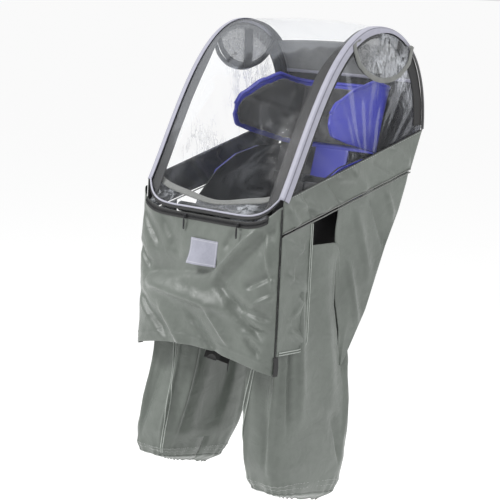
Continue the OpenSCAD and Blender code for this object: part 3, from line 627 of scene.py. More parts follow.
for side, word in ((1, "left"), (-1, "right")):
    def meshAt(a, b, side=side):
        p = ventAt(a, b)
        p.x = side * (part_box("vent_mesh_left")[0].x + 0.0006 + 0.0006 * rumple(p, 0.04, 4))
        return p
    net = piece(f"vent_net_{word}", spread(meshAt, 60, 24, sideways(side), (0.25, 0.1)),
                finish["net"], rest, (f"vent_mesh_{word}",), 0.0004)

    def ventTape(a, b, side=side):
        low = ventLow(b)
        inwards = (Vector((0, mix(vent["front"], vent["back"], 0.5), hoop["top"])) - low)
        p = low + inwards.normalized() * mix(-0.003, 0.010, a)
        p.x = side * (hoop["side"] - 0.0038 - 0.0016 * math.sin(math.pi * a) - 0.0006 * rumple(p, 0.02, 6))
        return p
    piece(f"vent_tape_{word}", spread(ventTape, 6, 80, sideways(-side), (0.013, 0.28)),
          finish["tape"], rest, (), 0.0016)

    def ventStrap(a, b, side=side):
        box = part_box("vent_strap_left")
        p = Vector((0, mix(box[0].y - 0.001, box[1].y + 0.001, a), mix(box[0].z - 0.003, box[1].z + 0.004, b)))
        p.x = side * (box[0].x - 0.0006 - 0.0022 * math.sin(math.pi * b) + 0.0006 * rumple(p, 0.02, 7))
        return p
    piece(f"vent_webbing_{word}", spread(ventStrap, 6, 24, sideways(-side), (0.026, 0.09)),
          finish["strap"], rest, (f"vent_strap_{word}",), 0.0014)

    def hoodAt(a, b, side=side):
        p = ventAt(a, b, 0.006)
        belly = math.sin(math.pi * a) * (1 - b) ** 1.4
        p.x = side * (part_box("vent_hood_left")[0].x + 0.0014 + 0.0062 * belly + 0.0028 * (1 - b) * rumple((p.y,
                p.z, 0), 0.022, 3 + side))
        return p
    hood = piece(f"vent_hood_clear_{word}", spread(hoodAt, 70, 24, sideways(side), (0.25, 0.1)),
                 finish["clearHood"], f"hood_{word}", (f"vent_hood_{word}",), 0.0006)

    def hoodTape(a, b, side=side, hoodAt=hoodAt):
        p = hoodAt(mix(0.02, 0.98, b), 0.0)
        inwards = Vector((0, mix(vent["front"], vent["back"], 0.5), hoop["top"])) - Vector((0, p.y, p.z))
        p += inwards.normalized() * mix(-0.002, 0.009, a)
        p.x += side * (0.0008 + 0.0014 * math.sin(math.pi * a))
        return p
    piece(f"vent_hood_tape_{word}", spread(hoodTape, 6, 90, sideways(side), (0.011, 0.28)),
          finish["greyTape"], f"hood_{word}", (), 0.0015)
print("vents made")

cover = {"side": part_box("side_flap_left")[0].x, "zip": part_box("zip_tape")[1].z, "bulge": 0.038}
apron = {
    "top": apronBox[1].z - 0.045, "bottom": -0.205, "seamDrop": 0.030, "thick": 0.0012, "front": -0.0224,
    # where each fold runs on the front, from and to (across, height), then its width and height
    "folds": (
        ((0.195, 0.075), (0.050, -0.070), 0.020, 0.0095), ((0.150, 0.055), (0.050, -0.052), 0.014, -0.0065),
        ((0.050, -0.066), (0.130, -0.112), 0.015, 0.0075), ((0.125, -0.108), (0.198, -0.122), 0.012, 0.0065),
        ((0.140, -0.060), (0.198, -0.028), 0.011, 0.0060), ((0.090, -0.100), (0.182, -0.165), 0.013, 0.0070),
        ((0.140, -0.165), (0.175, -0.197), 0.009, 0.0045), ((-0.160, -0.068), (0.040, -0.036), 0.024, 0.0085),
        ((-0.150, -0.092), (0.090, -0.118), 0.017, -0.0080), ((-0.190, 0.058), (-0.120, -0.010), 0.015, 0.0050),
        ((-0.120, 0.060), (-0.060, -0.020), 0.018, 0.0040), ((0.100, 0.058), (0.070, 0.010), 0.012, 0.0035),
        ((-0.190, -0.120), (-0.080, -0.200), 0.014, 0.0070), ((-0.110, -0.130), (-0.020, -0.225), 0.016, -0.0060),
        ((-0.020, -0.135), (0.070, -0.222), 0.014, 0.0060), ((0.170, 0.060), (0.196, -0.060), 0.008, -0.0045),
        ((0.196, -0.070), (0.150, -0.100), 0.008, -0.0045), ((0.196, -0.150), (0.120, -0.140), 0.007, 0.0035),
        ((-0.196, -0.02), (-0.150, -0.060), 0.010, 0.0050), ((0.03, -0.120), (0.10, -0.185), 0.010, -0.0045),
    ),
}


def plan(s):
    return (1 - min(abs(s), 1) ** 5) ** (1 / 2.2)


def apronAt(v, s, depth=0.0):
    top = apron["top"] + 0.038 * abs(s) ** 7
    bottom = apron["bottom"] - apron["seamDrop"] * s * s
    bow = cover["bulge"] * (0.72 + 0.28 * math.sin(min(v, 0.5) * math.pi)) * plan(s)
    return Vector((s * (cover["side"] - 0.0004 - depth), apron["front"] - bow + depth, mix(top, bottom, v)))


def apronLift(a, b):
    p = apronAt(b, 2 * a - 1)
    flat = (p.x, p.z)
    lift = sum(crease(flat, *fold) for fold in apron["folds"])
    lift += 0.0020 * rumple(p, 0.06, 1) + 0.0008 * rumple(p, 0.018, 5)
    pinned = between(b, 0.0, 0.10) * between(1 - abs(2 * a - 1), 0.0, 0.035)
    hem = 0.0010 * math.exp(-((b - 0.93) / 0.006) ** 2)
    return (lift * pinned - hem)


def squareAcross(a):  # more rows near the corners, where the front turns
    w = 2 * a - 1
    return math.copysign(1 - (1 - abs(w)) ** 1.4, w)


apronWide = pathLength(lambda t: apronAt(0.5, squareAcross(t)))
cloth = piece("front_cloth", spread(raised(lambda a, b: apronAt(b, squareAcross(a)), lambda a,
                                           b: apronLift((squareAcross(a) + 1) / 2, b), 1), 150, 100,
              forward, (apronWide, 0.29)), finish["cover"], rest, ("front_apron",), apron["thick"],
              lining=finish["lining"])

seam = {"radius": 0.0011, "tabWide": 0.011, "tabTall": 0.040}
for side, word in ((1, "left"), (-1, "right")):
    def seamPath(t, side=side):
        p = apronAt(mix(0.01, 0.985, t), side * 0.9995)
        return p + Vector((side * 0.0012 + 0.0006 * rumple(p, 0.02, 3), -0.0006 + 0.0010 * rumple(p, 0.025, 4), 0))
    piece(f"corner_seam_{word}", tube(seamPath, seam["radius"], 70, 7, 0.3), finish["tape"], rest)

    def tabAt(a, b, side=side):
        p = apronAt(1.0, side * 0.9995)
        bend = Vector((side * 0.0022, 0, 0)) + Vector((0, -1, 0)) * mix(seam["tabWide"] * 0.45,
                -seam["tabWide"] * 0.75, a)
        return p + bend + Vector((side * 0.002 * math.sin(b * 3), 0, seam["tabTall"] * (1 - b) - 0.003))
    piece(f"hook_tab_{word}", spread(tabAt, 4, 12, sideways(side), (0.011, 0.04)), finish["tape"], rest,
          (), 0.0018, bevel=0.0004)
print("front cloth hung")

label = {"box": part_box("label_patch"), "thick": 0.0011}


def labelAt(a, b):
    box = label["box"]
    s = mix(box[0].x, box[1].x, a) / (cover["side"] - 0.0004)
    v = mix((apron["top"] - box[1].z), (apron["top"] - box[0].z), b) / (apron["top"] - apron["bottom"])
    p = apronAt(v, s)
    return p + Vector((0, -0.0012 - 0.0006 * math.sin(math.pi * a) + min(0, -apronLift((s + 1) / 2, v)), 0))


patch = piece("label_cloth", spread(labelAt, 28, 18, forward), finish["label"], rest, ("label_patch",),
              label["thick"], bevel=0.0003)

zipper = {"tall": 0.0125, "teeth": 170, "toothWide": 0.0012, "toothTall": 0.0034}


def zipAt(a, b):
    s = mix(-0.90, 0.90, a)
    p = apronAt(b * zipper["tall"] / 0.275, s)
    return p + Vector((0, -0.0012 - 0.0004 * math.sin(math.pi * b), 0))


piece("zip_band", spread(zipAt, 110, 6, forward, (0.42, 0.0125)), finish["tape"], rest, ("zip_tape",), 0.0012)
teeth = bmesh.new()
for i in range(zipper["teeth"]):
    made = bmesh.ops.create_cube(teeth, size=1.0)["verts"]
    a = (i + 0.5) / zipper["teeth"]
    p, q = zipAt(a, 0.5), zipAt(min(a + 0.003, 1), 0.5)
    bmesh.ops.scale(teeth, vec=(zipper["toothWide"], 0.0010, zipper["toothTall"]), verts=made)
    bmesh.ops.rotate(teeth, matrix=Matrix.Rotation(math.atan2(q.y - p.y, q.x - p.x), 3, "Z"), verts=made)
    bmesh.ops.translate(teeth, vec=p + Vector((0, -0.0008, (0.0004 if i % 2 else -0.0004))), verts=made)
piece("zip_teeth", teeth, finish["zip"], rest)

slider = {"wide": 0.0085, "tall": 0.010, "deep": 0.0036, "tabWide": 0.0052, "tabThick": 0.0014}
for word in ("left", "right"):
    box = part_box(f"zip_slider_{word}")
    middle = (box[0] + box[1]) / 2
    bm = bmesh.new()
    for back in (0, 1):  # a front and a rear plate, joined by the wedge, with the bridge in front
        made = bmesh.ops.create_cube(bm, size=1.0)["verts"]
        bmesh.ops.scale(bm, vec=(slider["wide"], 0.0011, slider["tall"]), verts=made)
        for v in made:
            if v.co.z < 0:
                v.co.x *= 0.72
        bmesh.ops.translate(bm, vec=(0, (box[1].y - middle.y) - 0.0008 - back * 0.0022, 0), verts=made)
    wedge = bmesh.ops.create_cone(bm, cap_ends=True, segments=10, radius1=0.0016, radius2=0.0016, depth=0.003)["verts"]
    bmesh.ops.rotate(bm, matrix=Matrix.Rotation(math.pi / 2, 3, "X"), verts=wedge)
    bmesh.ops.translate(bm, vec=(0, (box[1].y - middle.y) - 0.0019, 0.003), verts=wedge)
    bridge = bmesh.ops.create_cube(bm, size=1.0)["verts"]
    bmesh.ops.scale(bm, vec=(0.0022, 0.0012, 0.0074), verts=bridge)
    bmesh.ops.translate(bm, vec=(0, (box[0].y - middle.y) + 0.0004, 0), verts=bridge)
    bmesh.ops.bevel(bm, geom=list(bm.edges), offset=0.0003, segments=1, profile=0.5, affect="EDGES", material=-1)
    bmesh.ops.translate(bm, vec=middle, verts=bm.verts)
    piece(f"slider_{word}", bm, finish["zip"], f"zip_slide_{word}", (f"zip_slider_{word}",))

    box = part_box(f"pull_tab_{word}")
    middle = (box[0] + box[1]) / 2
    def tabShape(a, b, box=box, middle=middle):
        z = mix(box[1].z + 0.001, box[0].z, b)
        wide = slider["tabWide"] * (0.42 + 0.58 * between(b, 0.12, 0.34)) * (1 - 0.5 * between(b, 0.93, 1.0))
        return Vector((middle.x + (a - 0.5) * wide, middle.y - 0.0007 - 0.0006 * math.sin(math.pi * a), z))
    bm = spread(tabShape, 6, 26, forward, (0.005, 0.026))
    hole = [f for f in bm.faces if abs(f.calc_center_median().z - box[0].z - 0.004) < 0.0016 and abs(f.calc_center_median().x - middle.x) < 0.0012]
    bmesh.ops.delete(bm, geom=hole, context="FACES")
    piece(f"pull_{word}", bm, finish["zip"], f"pull_{word}", (f"pull_tab_{word}",), slider["tabThick"], grow=1)
print("zip closed")

splash = {"rise": 0.050, "back": 0.036, "wide": 0.86, "tape": 0.013}


def splashAt(a, b):
    s = mix(-1, 1, a) * splash["wide"]
    p = apronAt(0.02, s, 0.0032)
    sag = 0.010 * math.sin(math.pi * a) - 0.005 * math.sin(3 * math.pi * a)
    rise = splash["rise"] - sag * b
    p += Vector((0, splash["back"] * b + 0.003 * b * rumple((a * 0.4, b * 0.05, 0), 0.06, 2),
                 rise * b + 0.012 * abs(s) ** 6))
    return p


guard = piece("splash_clear", spread(splashAt, 60, 10, forward, (0.38, 0.06)), finish["clearHood"], rest,
              ("splash_guard",), 0.0007)


def splashTape(a, b):
    p, q = splashAt(b, 1.0), splashAt(b, 0.9)
    up = (p - q).normalized()
    return p + up * mix(-splash["tape"], 0.001, a) + Vector((0, -0.0012 - 0.0008 * math.sin(math.pi * a), 0))


piece("splash_tape", spread(splashTape, 4, 70, forward, (0.011, 0.4)), finish["greyTape"], rest, (), 0.0022)
print("splash guard bound")

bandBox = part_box("side_band_left")


def weltAt(y):
    return 0.050 + 0.2816 * (y + 0.020)


band = {
    "backTop": bandBox[1].y, "backLow": bandBox[1].y - 0.033, "thick": 0.0012,
    "folds": (((0.02, 0.115), (0.135, 0.085), 0.012, 0.0050), ((0.10, 0.165), (0.165, 0.100), 0.010, -0.0040),
              ((0.19, 0.172), (0.240, 0.122), 0.012, 0.0045), ((0.25, 0.190), (0.330, 0.160), 0.010, -0.0035),
              ((0.31, 0.215), (0.385, 0.170), 0.012, 0.0040), ((-0.01, 0.105), (0.03, 0.060), 0.010, 0.0055),
              ((0.035, 0.128), (0.075, 0.078), 0.009, -0.0040), ((0.14, 0.155), (0.20, 0.150), 0.008, 0.0030)),
}


def sideSheet(name, at, facing, across, down, size, body, stands, thick, folds, side, word,
              finishOf="cover", seed=0.0, floor=-0.02):
    def lifted(a, b):
        p = at(a, b)
        rise = sum(crease((p.y, p.z), *fold) for fold in folds)
        rise += 0.0013 * rumple(p, 0.05, seed) + 0.0006 * rumple(p, 0.017, seed + 4)
        edge = between(min(a, 1 - a), 0.0, 0.06) * between(min(b, 1 - b), 0.0, 0.12)
        p.x = side * (p.x + max(rise, floor) * edge)
        return p
    obj = piece(f"{name}_{word}", spread(lifted, across, down, facing, size), finish[finishOf], body, stands, thick,
                lining=finish["lining"])
    return lifted


def bandAt(a, b):
    yTop, yLow = mix(bandBox[0].y, band["backTop"], a), mix(bandBox[0].y, band["backLow"], a)
    return Vector((hoop["side"], mix(yTop, yLow, b), mix(sillAt(yTop) - 0.0005, weltAt(yLow) + 0.0015, b)))


panel = {
    "left": ((0.150, 0.104), (0.150, 0.030), (0.160, -0.100), (0.176, -0.160), (0.182, -0.240)),
    "right": ((0.381, 0.163), (0.350, 0.079), (0.312, 0.005), (0.256, -0.131), (0.186, -0.243)),
    "folds": (((0.20, 0.10), (0.26, -0.06), 0.014, 0.0050), ((0.25, 0.12), (0.31, 0.00), 0.012, -0.0045),
              ((0.30, 0.13), (0.33, 0.06), 0.010, 0.0040), ((0.19, -0.02), (0.23, -0.16), 0.010, 0.0045)),
}


def panelAt(a, b):
    left, right = onPath([Vector((0, *p)) for p in panel["left"]],
                         b), onPath([Vector((0, *p)) for p in panel["right"]], b)
    p = left.lerp(right, a)
    p.z = mix(p.z, weltAt(p.y) - 0.001, 1 - between(b, 0.0, 0.08)) if b < 0.08 else p.z
    p.x = hoop["side"] - 0.0012 - 0.0045 * (1 - between(a, 0.05, 0.30)) * between(b, 0.05, 0.2)
    return p


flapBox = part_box("side_flap_left")
flap = {
    "front": flapBox[0].y, "back": flapBox[1].y, "low": flapBox[0].z, "round": 0.028, "thick": 0.0012,
    "folds": (((-0.010, 0.045), (0.050, 0.010), 0.012, 0.0050), ((0.055, 0.030), (0.015, -0.050), 0.010, -0.0045),
              ((0.000, -0.030), (0.055, -0.070), 0.011, 0.0050), ((0.050, -0.085), (0.010, -0.130), 0.010, 0.0045),
              ((0.000, -0.100), (0.040, -0.150), 0.009, -0.0040), ((0.015, -0.150), (0.060, -0.180), 0.010, 0.0045)),
}


def flapEdge(z):
    rise = z - flap["low"]
    r = flap["round"]
    return flap["back"] - (r - math.sqrt(max(r * r - (r - rise) ** 2, 0)) if rise < r else 0)


def flapAt(a, b):
    z = mix(weltAt(flap["front"]) - 0.003, flap["low"], b)
    y = mix(flap["front"], flapEdge(z), a)
    z += (weltAt(y) - weltAt(flap["front"])) * (1 - b) ** 2
    return Vector((cover["side"] + 0.0016, y, z))


for side, word in ((1, "left"), (-1, "right")):
    facing = sideways(side)
    sideSheet("side_band_cloth", bandAt, facing, 110, 24, (0.44, 0.08), rest, (f"side_band_{word}",), band["thick"],
                         band["folds"], side, word, seed=side)
    sideSheet("side_panel_cloth", panelAt, facing, 50, 70, (0.23, 0.4), rest, (), 0.0012,
              panel["folds"], side, word, seed=3 + side)
    sideSheet("flap_cloth", flapAt, facing, 30, 76, (0.09, 0.27), f"flap_{word}", (f"side_flap_{word}",), flap["thick"],
                         flap["folds"], side, word, seed=7 + side, floor=-0.0008)

    # two welts where the band meets the panel under it, over the handlebar
    for k, drop in enumerate((0.0, 0.0065)):
        def weltPath(t, side=side, drop=drop):
            y = mix(bandBox[0].y + 0.002, band["backLow"] - 0.002, t)
            return Vector((side * (hoop["side"] + 0.0012), y,
                           weltAt(y) + 0.0035 - drop + 0.0008 * rumple((y, 0, drop), 0.03, 2)))
        piece(f"band_welt_{word}_{k}", tube(weltPath, 0.0014, 90, 7, 0.4), finish["greyTape"], rest)

    def sillSeam(t, side=side):
        y = mix(bandBox[0].y + 0.010, bandBox[1].y - 0.002, t)
        return Vector((side * (hoop["side"] + 0.0009), y, sillAt(y) + 0.0006 * rumple((y, 0, 0), 0.02, 5)))
    piece(f"sill_seam_{word}", tube(sillSeam, 0.0011, 100, 7, 0.44), finish["tape"], rest)

    # double light piping on the flap's rear and lower edges
    for k, inset in enumerate((0.0012, 0.0062)):
        def flapPath(t, side=side, inset=inset):
            top = weltAt(flap["back"]) - 0.006
            low, r = flap["low"] + inset, flap["round"] - inset
            tall = top - low - r
            span = tall + r * math.pi / 2 + (flap["back"] - flap["round"] - flap["front"])
            d = t * span
            if d < tall:
                y, z = flap["back"] - inset, top - d
            elif d < tall + r * math.pi / 2:
                w = (d - tall) / r
                y, z = flap["back"] - inset - r + r * math.cos(w), low + r - r * math.sin(w)
            else:
                y, z = flap["back"] - inset - r - (d - tall - r * math.pi / 2), low
            return Vector((side * (cover["side"] + 0.0026), max(y, flap["front"] + 0.0045), z))
        piece(f"flap_piping_{word}_{k}", tube(flapPath, 0.0013, 110, 7, 0.33), finish["lightPiping"],
              f"flap_{word}")
print("cloth sides hung")


def stitches(name, path, count, body, long=0.0030, thick=0.0006):  # one short thread for each stitch
    bm = bmesh.new()
    for i in range(count):
        t = (i + 0.5) / count
        p, d = path(t), (path(min(t + 0.004, 1)) - path(max(t - 0.004, 0))).normalized()
        made = bmesh.ops.create_cube(bm, size=1.0)["verts"]
        bmesh.ops.scale(bm, vec=(long, thick, thick), verts=made)
        bmesh.ops.rotate(bm, matrix=d.to_track_quat("X", "Z").to_matrix(), verts=made)
        bmesh.ops.translate(bm, vec=p, verts=made)
    return piece(name, bm, finish["thread"], body)


for side, word in ((1, "left"), (-1, "right")):
    def sillThread(t, side=side):
        y = mix(bandBox[0].y + 0.014, bandBox[1].y - 0.006, t)
        return Vector((side * (hoop["side"] + 0.0012), y, sillAt(y) - 0.0035))
    stitches(f"sill_stitches_{word}", sillThread, 62, rest)

bag = {
    "top": -0.106, "round": 0.52, "thick": 0.0012, "kick": {"left": 0.0, "right": 0.062},
    # height, inner and outer side, front and back of each section, and how far its back hangs below its front
    "sections": ((-0.106, 0.076, 0.1975, 0.008, 0.196, 0.0), (-0.170, 0.076, 0.1975, 0.005, 0.212, 0.0),
                 (-0.246, 0.077, 0.1978, 0.003, 0.226, 0.0), (-0.330, 0.076, 0.200, 0.000, 0.238, 0.006),
                 (-0.435, 0.078, 0.201, -0.002, 0.236, 0.014), (-0.478, 0.084, 0.197, 0.006, 0.228, 0.022),
                 (-0.497, 0.090, 0.190, 0.016, 0.218, 0.026)),
    # folds by turn (in full turns from the outer side) and height: from, to, width, height
    "folds": (((0.00, 0.02), (0.02, -0.30), 0.020, 0.0050), ((0.06, -0.02), (0.09, -0.26), 0.016, -0.0055),
              ((0.13, -0.10), (0.10, -0.40), 0.016, 0.0055), ((-0.06, -0.02), (-0.04, -0.33), 0.018, 0.0060),
              ((-0.11, -0.12), (-0.10, -0.36), 0.014, -0.0055), ((0.17, -0.12), (0.20, -0.45), 0.018, 0.0055),
              ((-0.18, -0.14), (-0.21, -0.42), 0.016, 0.0060), ((-0.26, -0.14), (-0.23, -0.44), 0.014, -0.0060),
              ((-0.30, -0.16), (-0.31, -0.45), 0.012, 0.0050), ((0.02, -0.34), (0.08, -0.44), 0.016, -0.0050),
              ((0.26, -0.14), (0.30, -0.44), 0.018, -0.0060), ((0.38, -0.16), (0.36, -0.44), 0.018, 0.0060),
              ((0.47, -0.14), (0.50, -0.44), 0.018, -0.0060), ((-0.42, -0.16), (-0.40, -0.44), 0.018, 0.0060)),
}


def bagSection(z):
    rows = bag["sections"]
    if z >= rows[0][0]:
        return rows[0][1:]
    for upper, lower in zip(rows, rows[1:]):
        if z >= lower[0]:
            t = ease((z - upper[0]) / (lower[0] - upper[0])) * 0.5 + 0.5 * (z - upper[0]) / (lower[0] - upper[0])
            return tuple(mix(p, q, t) for p, q in zip(upper[1:], lower[1:]))
    return rows[-1][1:]


def bagPoint(turn, z, kick):
    x0, x1, y0, y1, tilt = bagSection(z)
    share = max(0, ((bag["top"] - z) / 0.394) - 0.3) / 0.7
    hang = kick * min(share, 1) ** 1.2
    w = 2 * math.pi * turn
    c, s = math.cos(w), math.sin(w)
    x = (x0 + x1) / 2 + (x1 - x0) / 2 * math.copysign(abs(c) ** bag["round"], c)
    y = (y0 + y1) / 2 + (y1 - y0) / 2 * math.copysign(abs(s) ** bag["round"], s)
    return Vector((x, y - hang, z + hang * 0.5 - tilt * (y - y0) / (y1 - y0)))


def bagTop(turn):  # the outer wall runs on up to the handlebar slot
    p = bagPoint(turn, bag["top"], 0)
    outer = between(p.x, 0.185, 0.1972)
    slant = mix(bag["top"], 0.024, min(max((p.y - 0.006) / 0.050, 0), 1))
    return mix(bag["top"], slant, outer * (1 - between(p.y, 0.180, 0.194)))


def bagAt(kick):
    def at(a, b):
        turn = a - 0.5
        z = mix(bagTop(turn), bag["sections"][-1][0], b)
        return bagPoint(turn, z, kick)
    return at


def bagLift(kick):
    def lift(a, b):
        turn = a - 0.5
        z = mix(bagTop(turn), bag["sections"][-1][0], b)
        rise = sum(crease((turn + k, z), (s[0], s[1]), (e[0], e[1]), w, h) for s, e, w,
                   h in bag["folds"] for k in (-1, 0, 1))
        ring = Vector((math.cos(2 * math.pi * a), math.sin(2 * math.pi * a), 0)) * 0.055
        p = Vector((ring.x, ring.y, z * 0.35))
        rise += 0.0030 * rumple(p, 0.034, 2 + kick * 40) + 0.0007 * rumple(bagPoint(turn, z, kick), 0.02, 4)
        gather = between(z, -0.455, -0.497) if z < -0.455 else 0.0
        rise += 0.0016 * gather * math.sin(2 * math.pi * 26 * a + 2 * math.sin(9 * a))
        return rise * between(b, 0.0, 0.06) * (1 - 0.35 * between(b, 0.9, 1.0))
    return lift


for side, word in ((1, "left"), (-1, "right")):
    kick = bag["kick"][word]
    shape = raised(bagAt(kick), bagLift(kick), -1 if outside(bagAt(kick), 0.5, 0.5).x < 0 else 1)
    middle = Vector((side * 0.138, 0.112 - kick * 0.5, -0.3))
    out = lambda c, middle=middle: Vector((c.x - middle.x, c.y - middle.y, 0))
    around = pathLength(lambda t: bagAt(kick)(t, 0.5), 120)
    body = piece(f"bag_{word}", spread(mirrored(shape, side), 150, 110, out, (around, 0.42), joined=True),
                 finish["cover"], rest,
                 (f"leg_bag_{word}", f"bag_cuff_{word}",
                  f"side_panel_{word}"), bag["thick"], lining=finish["lining"])
    round(around * 0.41, 4)

    def skirt(a, b, kick=kick, shape=shape):
        rim = shape(a, 1.0)
        centre = Vector((0.139, 0.117 - kick, rim.z))
        puff = math.sin(2 * math.pi * 24 * a + 3 * math.sin(7 * a))
        pull = mix(1.0, 0.62, ease(b))
        q = centre + (rim - centre) * (pull + 0.02 * puff * b)
        return q + Vector((0, 0, -0.018 * b ** 0.8 + 0.0020 * puff * b))
    gather = piece(f"bag_elastic_{word}", spread(mirrored(skirt, side), 192, 14, out, (around, 0.03),
                                                 joined=True), finish["cover"],
                   rest, (f"bag_gather_{word}",), 0.0012, lining=finish["lining"])
    round(around * 0.028, 4)

    for k, apart in enumerate((0.0, 0.014)):  # two light pipings down the front seam
        def seamLine(t, shape=shape, side=side, apart=apart):
            turn = mix(-0.245, -0.325, ease(t)) - apart
            p = mirrored(shape, side)(turn + 0.5, mix(0.02, 0.985, t))
            return p + Vector((0, -0.0008, 0))
        piece(f"bag_piping_{word}_{k}", tube(seamLine, 0.0013, 110, 7, 0.4), finish["lightPiping"], rest)

    for k, b in enumerate((0.955, 0.975)):  # two rows of stitching above the gathered end
        def hemLine(t, shape=shape, side=side, b=b):
            p = mirrored(shape, side)(t, b)
            c = Vector((side * 0.138, 0.117 - kick, p.z))
            return p + (p - c).normalized() * 0.0005
        stitches(f"bag_hem_stitches_{word}_{k}", hemLine, 120, rest, 0.0032, 0.0005)
print("leg bags hung")

rear = {"edge": ((0.417, 0.251), (0.383, 0.165), (0.350, 0.079), (0.312, 0.005)), "tapeHeight": 0.353, "thick": 0.0012}


def rearAt(a, b):
    s = 2 * a - 1
    upper = 0.42
    if b <= upper:
        return sheetAt(mix(hoop["roofEnd"], 2.0, b / upper), s, 0.0)
    p = onPath([Vector((0, *q)) for q in rear["edge"]], (b - upper) / (1 - upper))
    bow = hoop["crown"] * (1 - s * s)
    p += Vector((0, bow * 0.93, -bow * 0.37))
    p.x = s * hoop["sheetSide"]
    return p


def rearLift(a, b):
    p = rearAt(a, b)
    held = between(min(a, 1 - a), 0, 0.06) * between(min(b, 1 - b), 0, 0.05)
    return held * (0.0035 * rumple(p, 0.09, 6) + 0.0014 * rumple(p, 0.03, 2))


def rearInside():  # dark grey above the tape and black below it
    p = Paint("rear_lining", Sheen_Weight=0.25)
    spot = p.place()
    wide = p.cloud(spot, 14.0, 4)
    above = p.part(spot, 2).reach(rear["tapeHeight"] - 0.001, rear["tapeHeight"] + 0.001)
    light = p.blend(wide, (0.14, 0.146, 0.146), (0.25, 0.256, 0.256))
    p.set("Base Color", p.blend(above, (0.014, 0.014, 0.015), light))
    p.set("Roughness", 0.42 + wide * 0.2)
    p.set("Normal", p.bump(p.cloud(spot, 40.0, 4), 0.002, 0.5))
    return p.material


rearLength = pathLength(lambda t: rearAt(0.5, t))
back = piece("rear_cloth", spread(raised(rearAt, rearLift, 1), 60, 70, lambda c: Vector((0, 1, 0.2)),
                                  (0.383, rearLength)), finish["cover"], rest,
             ("rear_panel",), rear["thick"], lining=rearInside())


def rearTape(a, b):
    z = rear["tapeHeight"] + mix(-0.003, 0.004, a)
    low, high = 0.0, 0.42
    for _ in range(24):
        m = (low + high) / 2
        low, high = (m, high) if rearAt(b, m).z > z else (low, m)
    return rearAt(b, low) + Vector((0, -0.003, 0))


piece("rear_tape", spread(rearTape, 3, 60, forward, (0.007, 0.38)), finish["piping"], rest, (), 0.0008)
print("rear cloth hung")

seatSkins = {
    "seat_shell": "shell", "side_cheek_left": "blue", "side_cheek_right": "blue", "head_guide": "shell", "head_lock": "button",
    "guard_bar": "rubber", "buckle_body": "shell", "buckle_button": "button", "leg_guard_left": "shell", "leg_guard_right": "shell",
    "footrest_left": "shell", "footrest_right": "shell", "clamp_jaws": "cast", "clamp_caps": "cast", "clamp_bolts": "bolt",
    "mount_bracket": "bracket", "bracket_bolts": "bolt", "support_stay": "bracket", "stay_pad": "rubber",
}
for name, skin in seatSkins.items():
    for slotOf in nodes[name].material_slots:
        slotOf.material = finish[skin]

lean = Matrix.Rotation(math.radians(-14), 4, "X")
seatFoot = Vector((0, 0.272, -0.090))


def inBack(p):  # from the backrest's own directions to the frame's
    return seatFoot + lean.to_3x3() @ Vector(p)


head = {
    "wide": 0.140, "round": 0.040, "back": 0.013, "front": -0.181, "low": 0.292, "tall": 0.145, "thick": 0.006,
    # height of the upper and lower edges against the distance forward of the back
    "upper": ((0.074, 1.0), (-0.060, 1.0), (-0.110, 0.82), (-0.170, 0.5), (-0.182, 0.32)),
    "lower": ((0.074, 0.0), (-0.060, 0.0), (-0.110, 0.0), (-0.166, 0.02), (-0.182, 0.18)),
}


def headPlan(t, inner=0.0):  # round the U, from one front edge to the other
    w, r, back, forward = head["wide"] - inner, head["round"] - inner, head["back"] - inner, head["front"]
    leg, arc, flat = (back - r) - forward, r * math.pi / 2, 2 * (w - r)
    d = t * (2 * leg + 2 * arc + flat)
    if d < leg:
        return Vector((-w, forward + d, 0))
    d -= leg
    if d < arc:
        k = d / r
        return Vector((-w + r - r * math.cos(k), back - r + r * math.sin(k), 0))
    d -= arc
    if d < flat:
        return Vector((-w + r + d, back, 0))
    d -= flat
    if d < arc:
        k = d / r
        return Vector((w - r + r * math.sin(k), back - r + r * math.cos(k), 0))
    return Vector((w, back - r - (d - arc), 0))


def edgeHeight(rows, y):
    for (y0, h0), (y1, h1) in zip(rows, rows[1:]):
        if y >= y1:
            return mix(h0, h1, ease((y0 - y) / (y0 - y1)) * 0.4 + 0.6 * (y0 - y) / (y0 - y1))
    return rows[-1][1]


def headAt(inner, trim=0.0):
    def at(a, b):
        p = headPlan(a, inner)
        low = edgeHeight(head["lower"], p.y) * head["tall"] + trim
        high = edgeHeight(head["upper"], p.y) * head["tall"] - trim
        p.z = head["low"] + mix(low, high, b)
        flare = 0.004 * (b - 0.5) * (1 if inner == 0 else 0.5)
        return inBack(p + Vector((math.copysign(flare, p.x) * between(abs(p.x), 0.05, 0.14), 0, 0)))
    return at


headMiddle = inBack((0, -0.07, 0.36))
awayFromHead = lambda c: c - headMiddle
bm = spread(headAt(0.0), 96, 14, awayFromHead, (0.7, 0.145))
piece("head_guard_shell", bm, finish["blue"], "headrest", ("head_guard",), head["thick"], grow=1, bevel=0.0012)


def guardRim(t):
    return headAt(0.0028)(t, 1.0) + Vector((0, 0, 0.0004))


piece("head_guard_rim", tube(guardRim, 0.0050, 150, 10, 0.7), finish["blue"], "headrest")
tongue = {"wide": 0.048, "long": 0.196, "thick": 0.0058}
bm = spread(lambda a, b: inBack((mix(-tongue["wide"], tongue["wide"], a), head["back"] + 0.0006,
                                 head["low"] + 0.004 - tongue["long"] * b)),
            10, 24, lambda c: Vector((0, 1, 0)), (0.1, 0.2))
piece("head_guard_tongue", bm, finish["blue"], "headrest", (), tongue["thick"], bevel=0.0010)
print("head guard made")


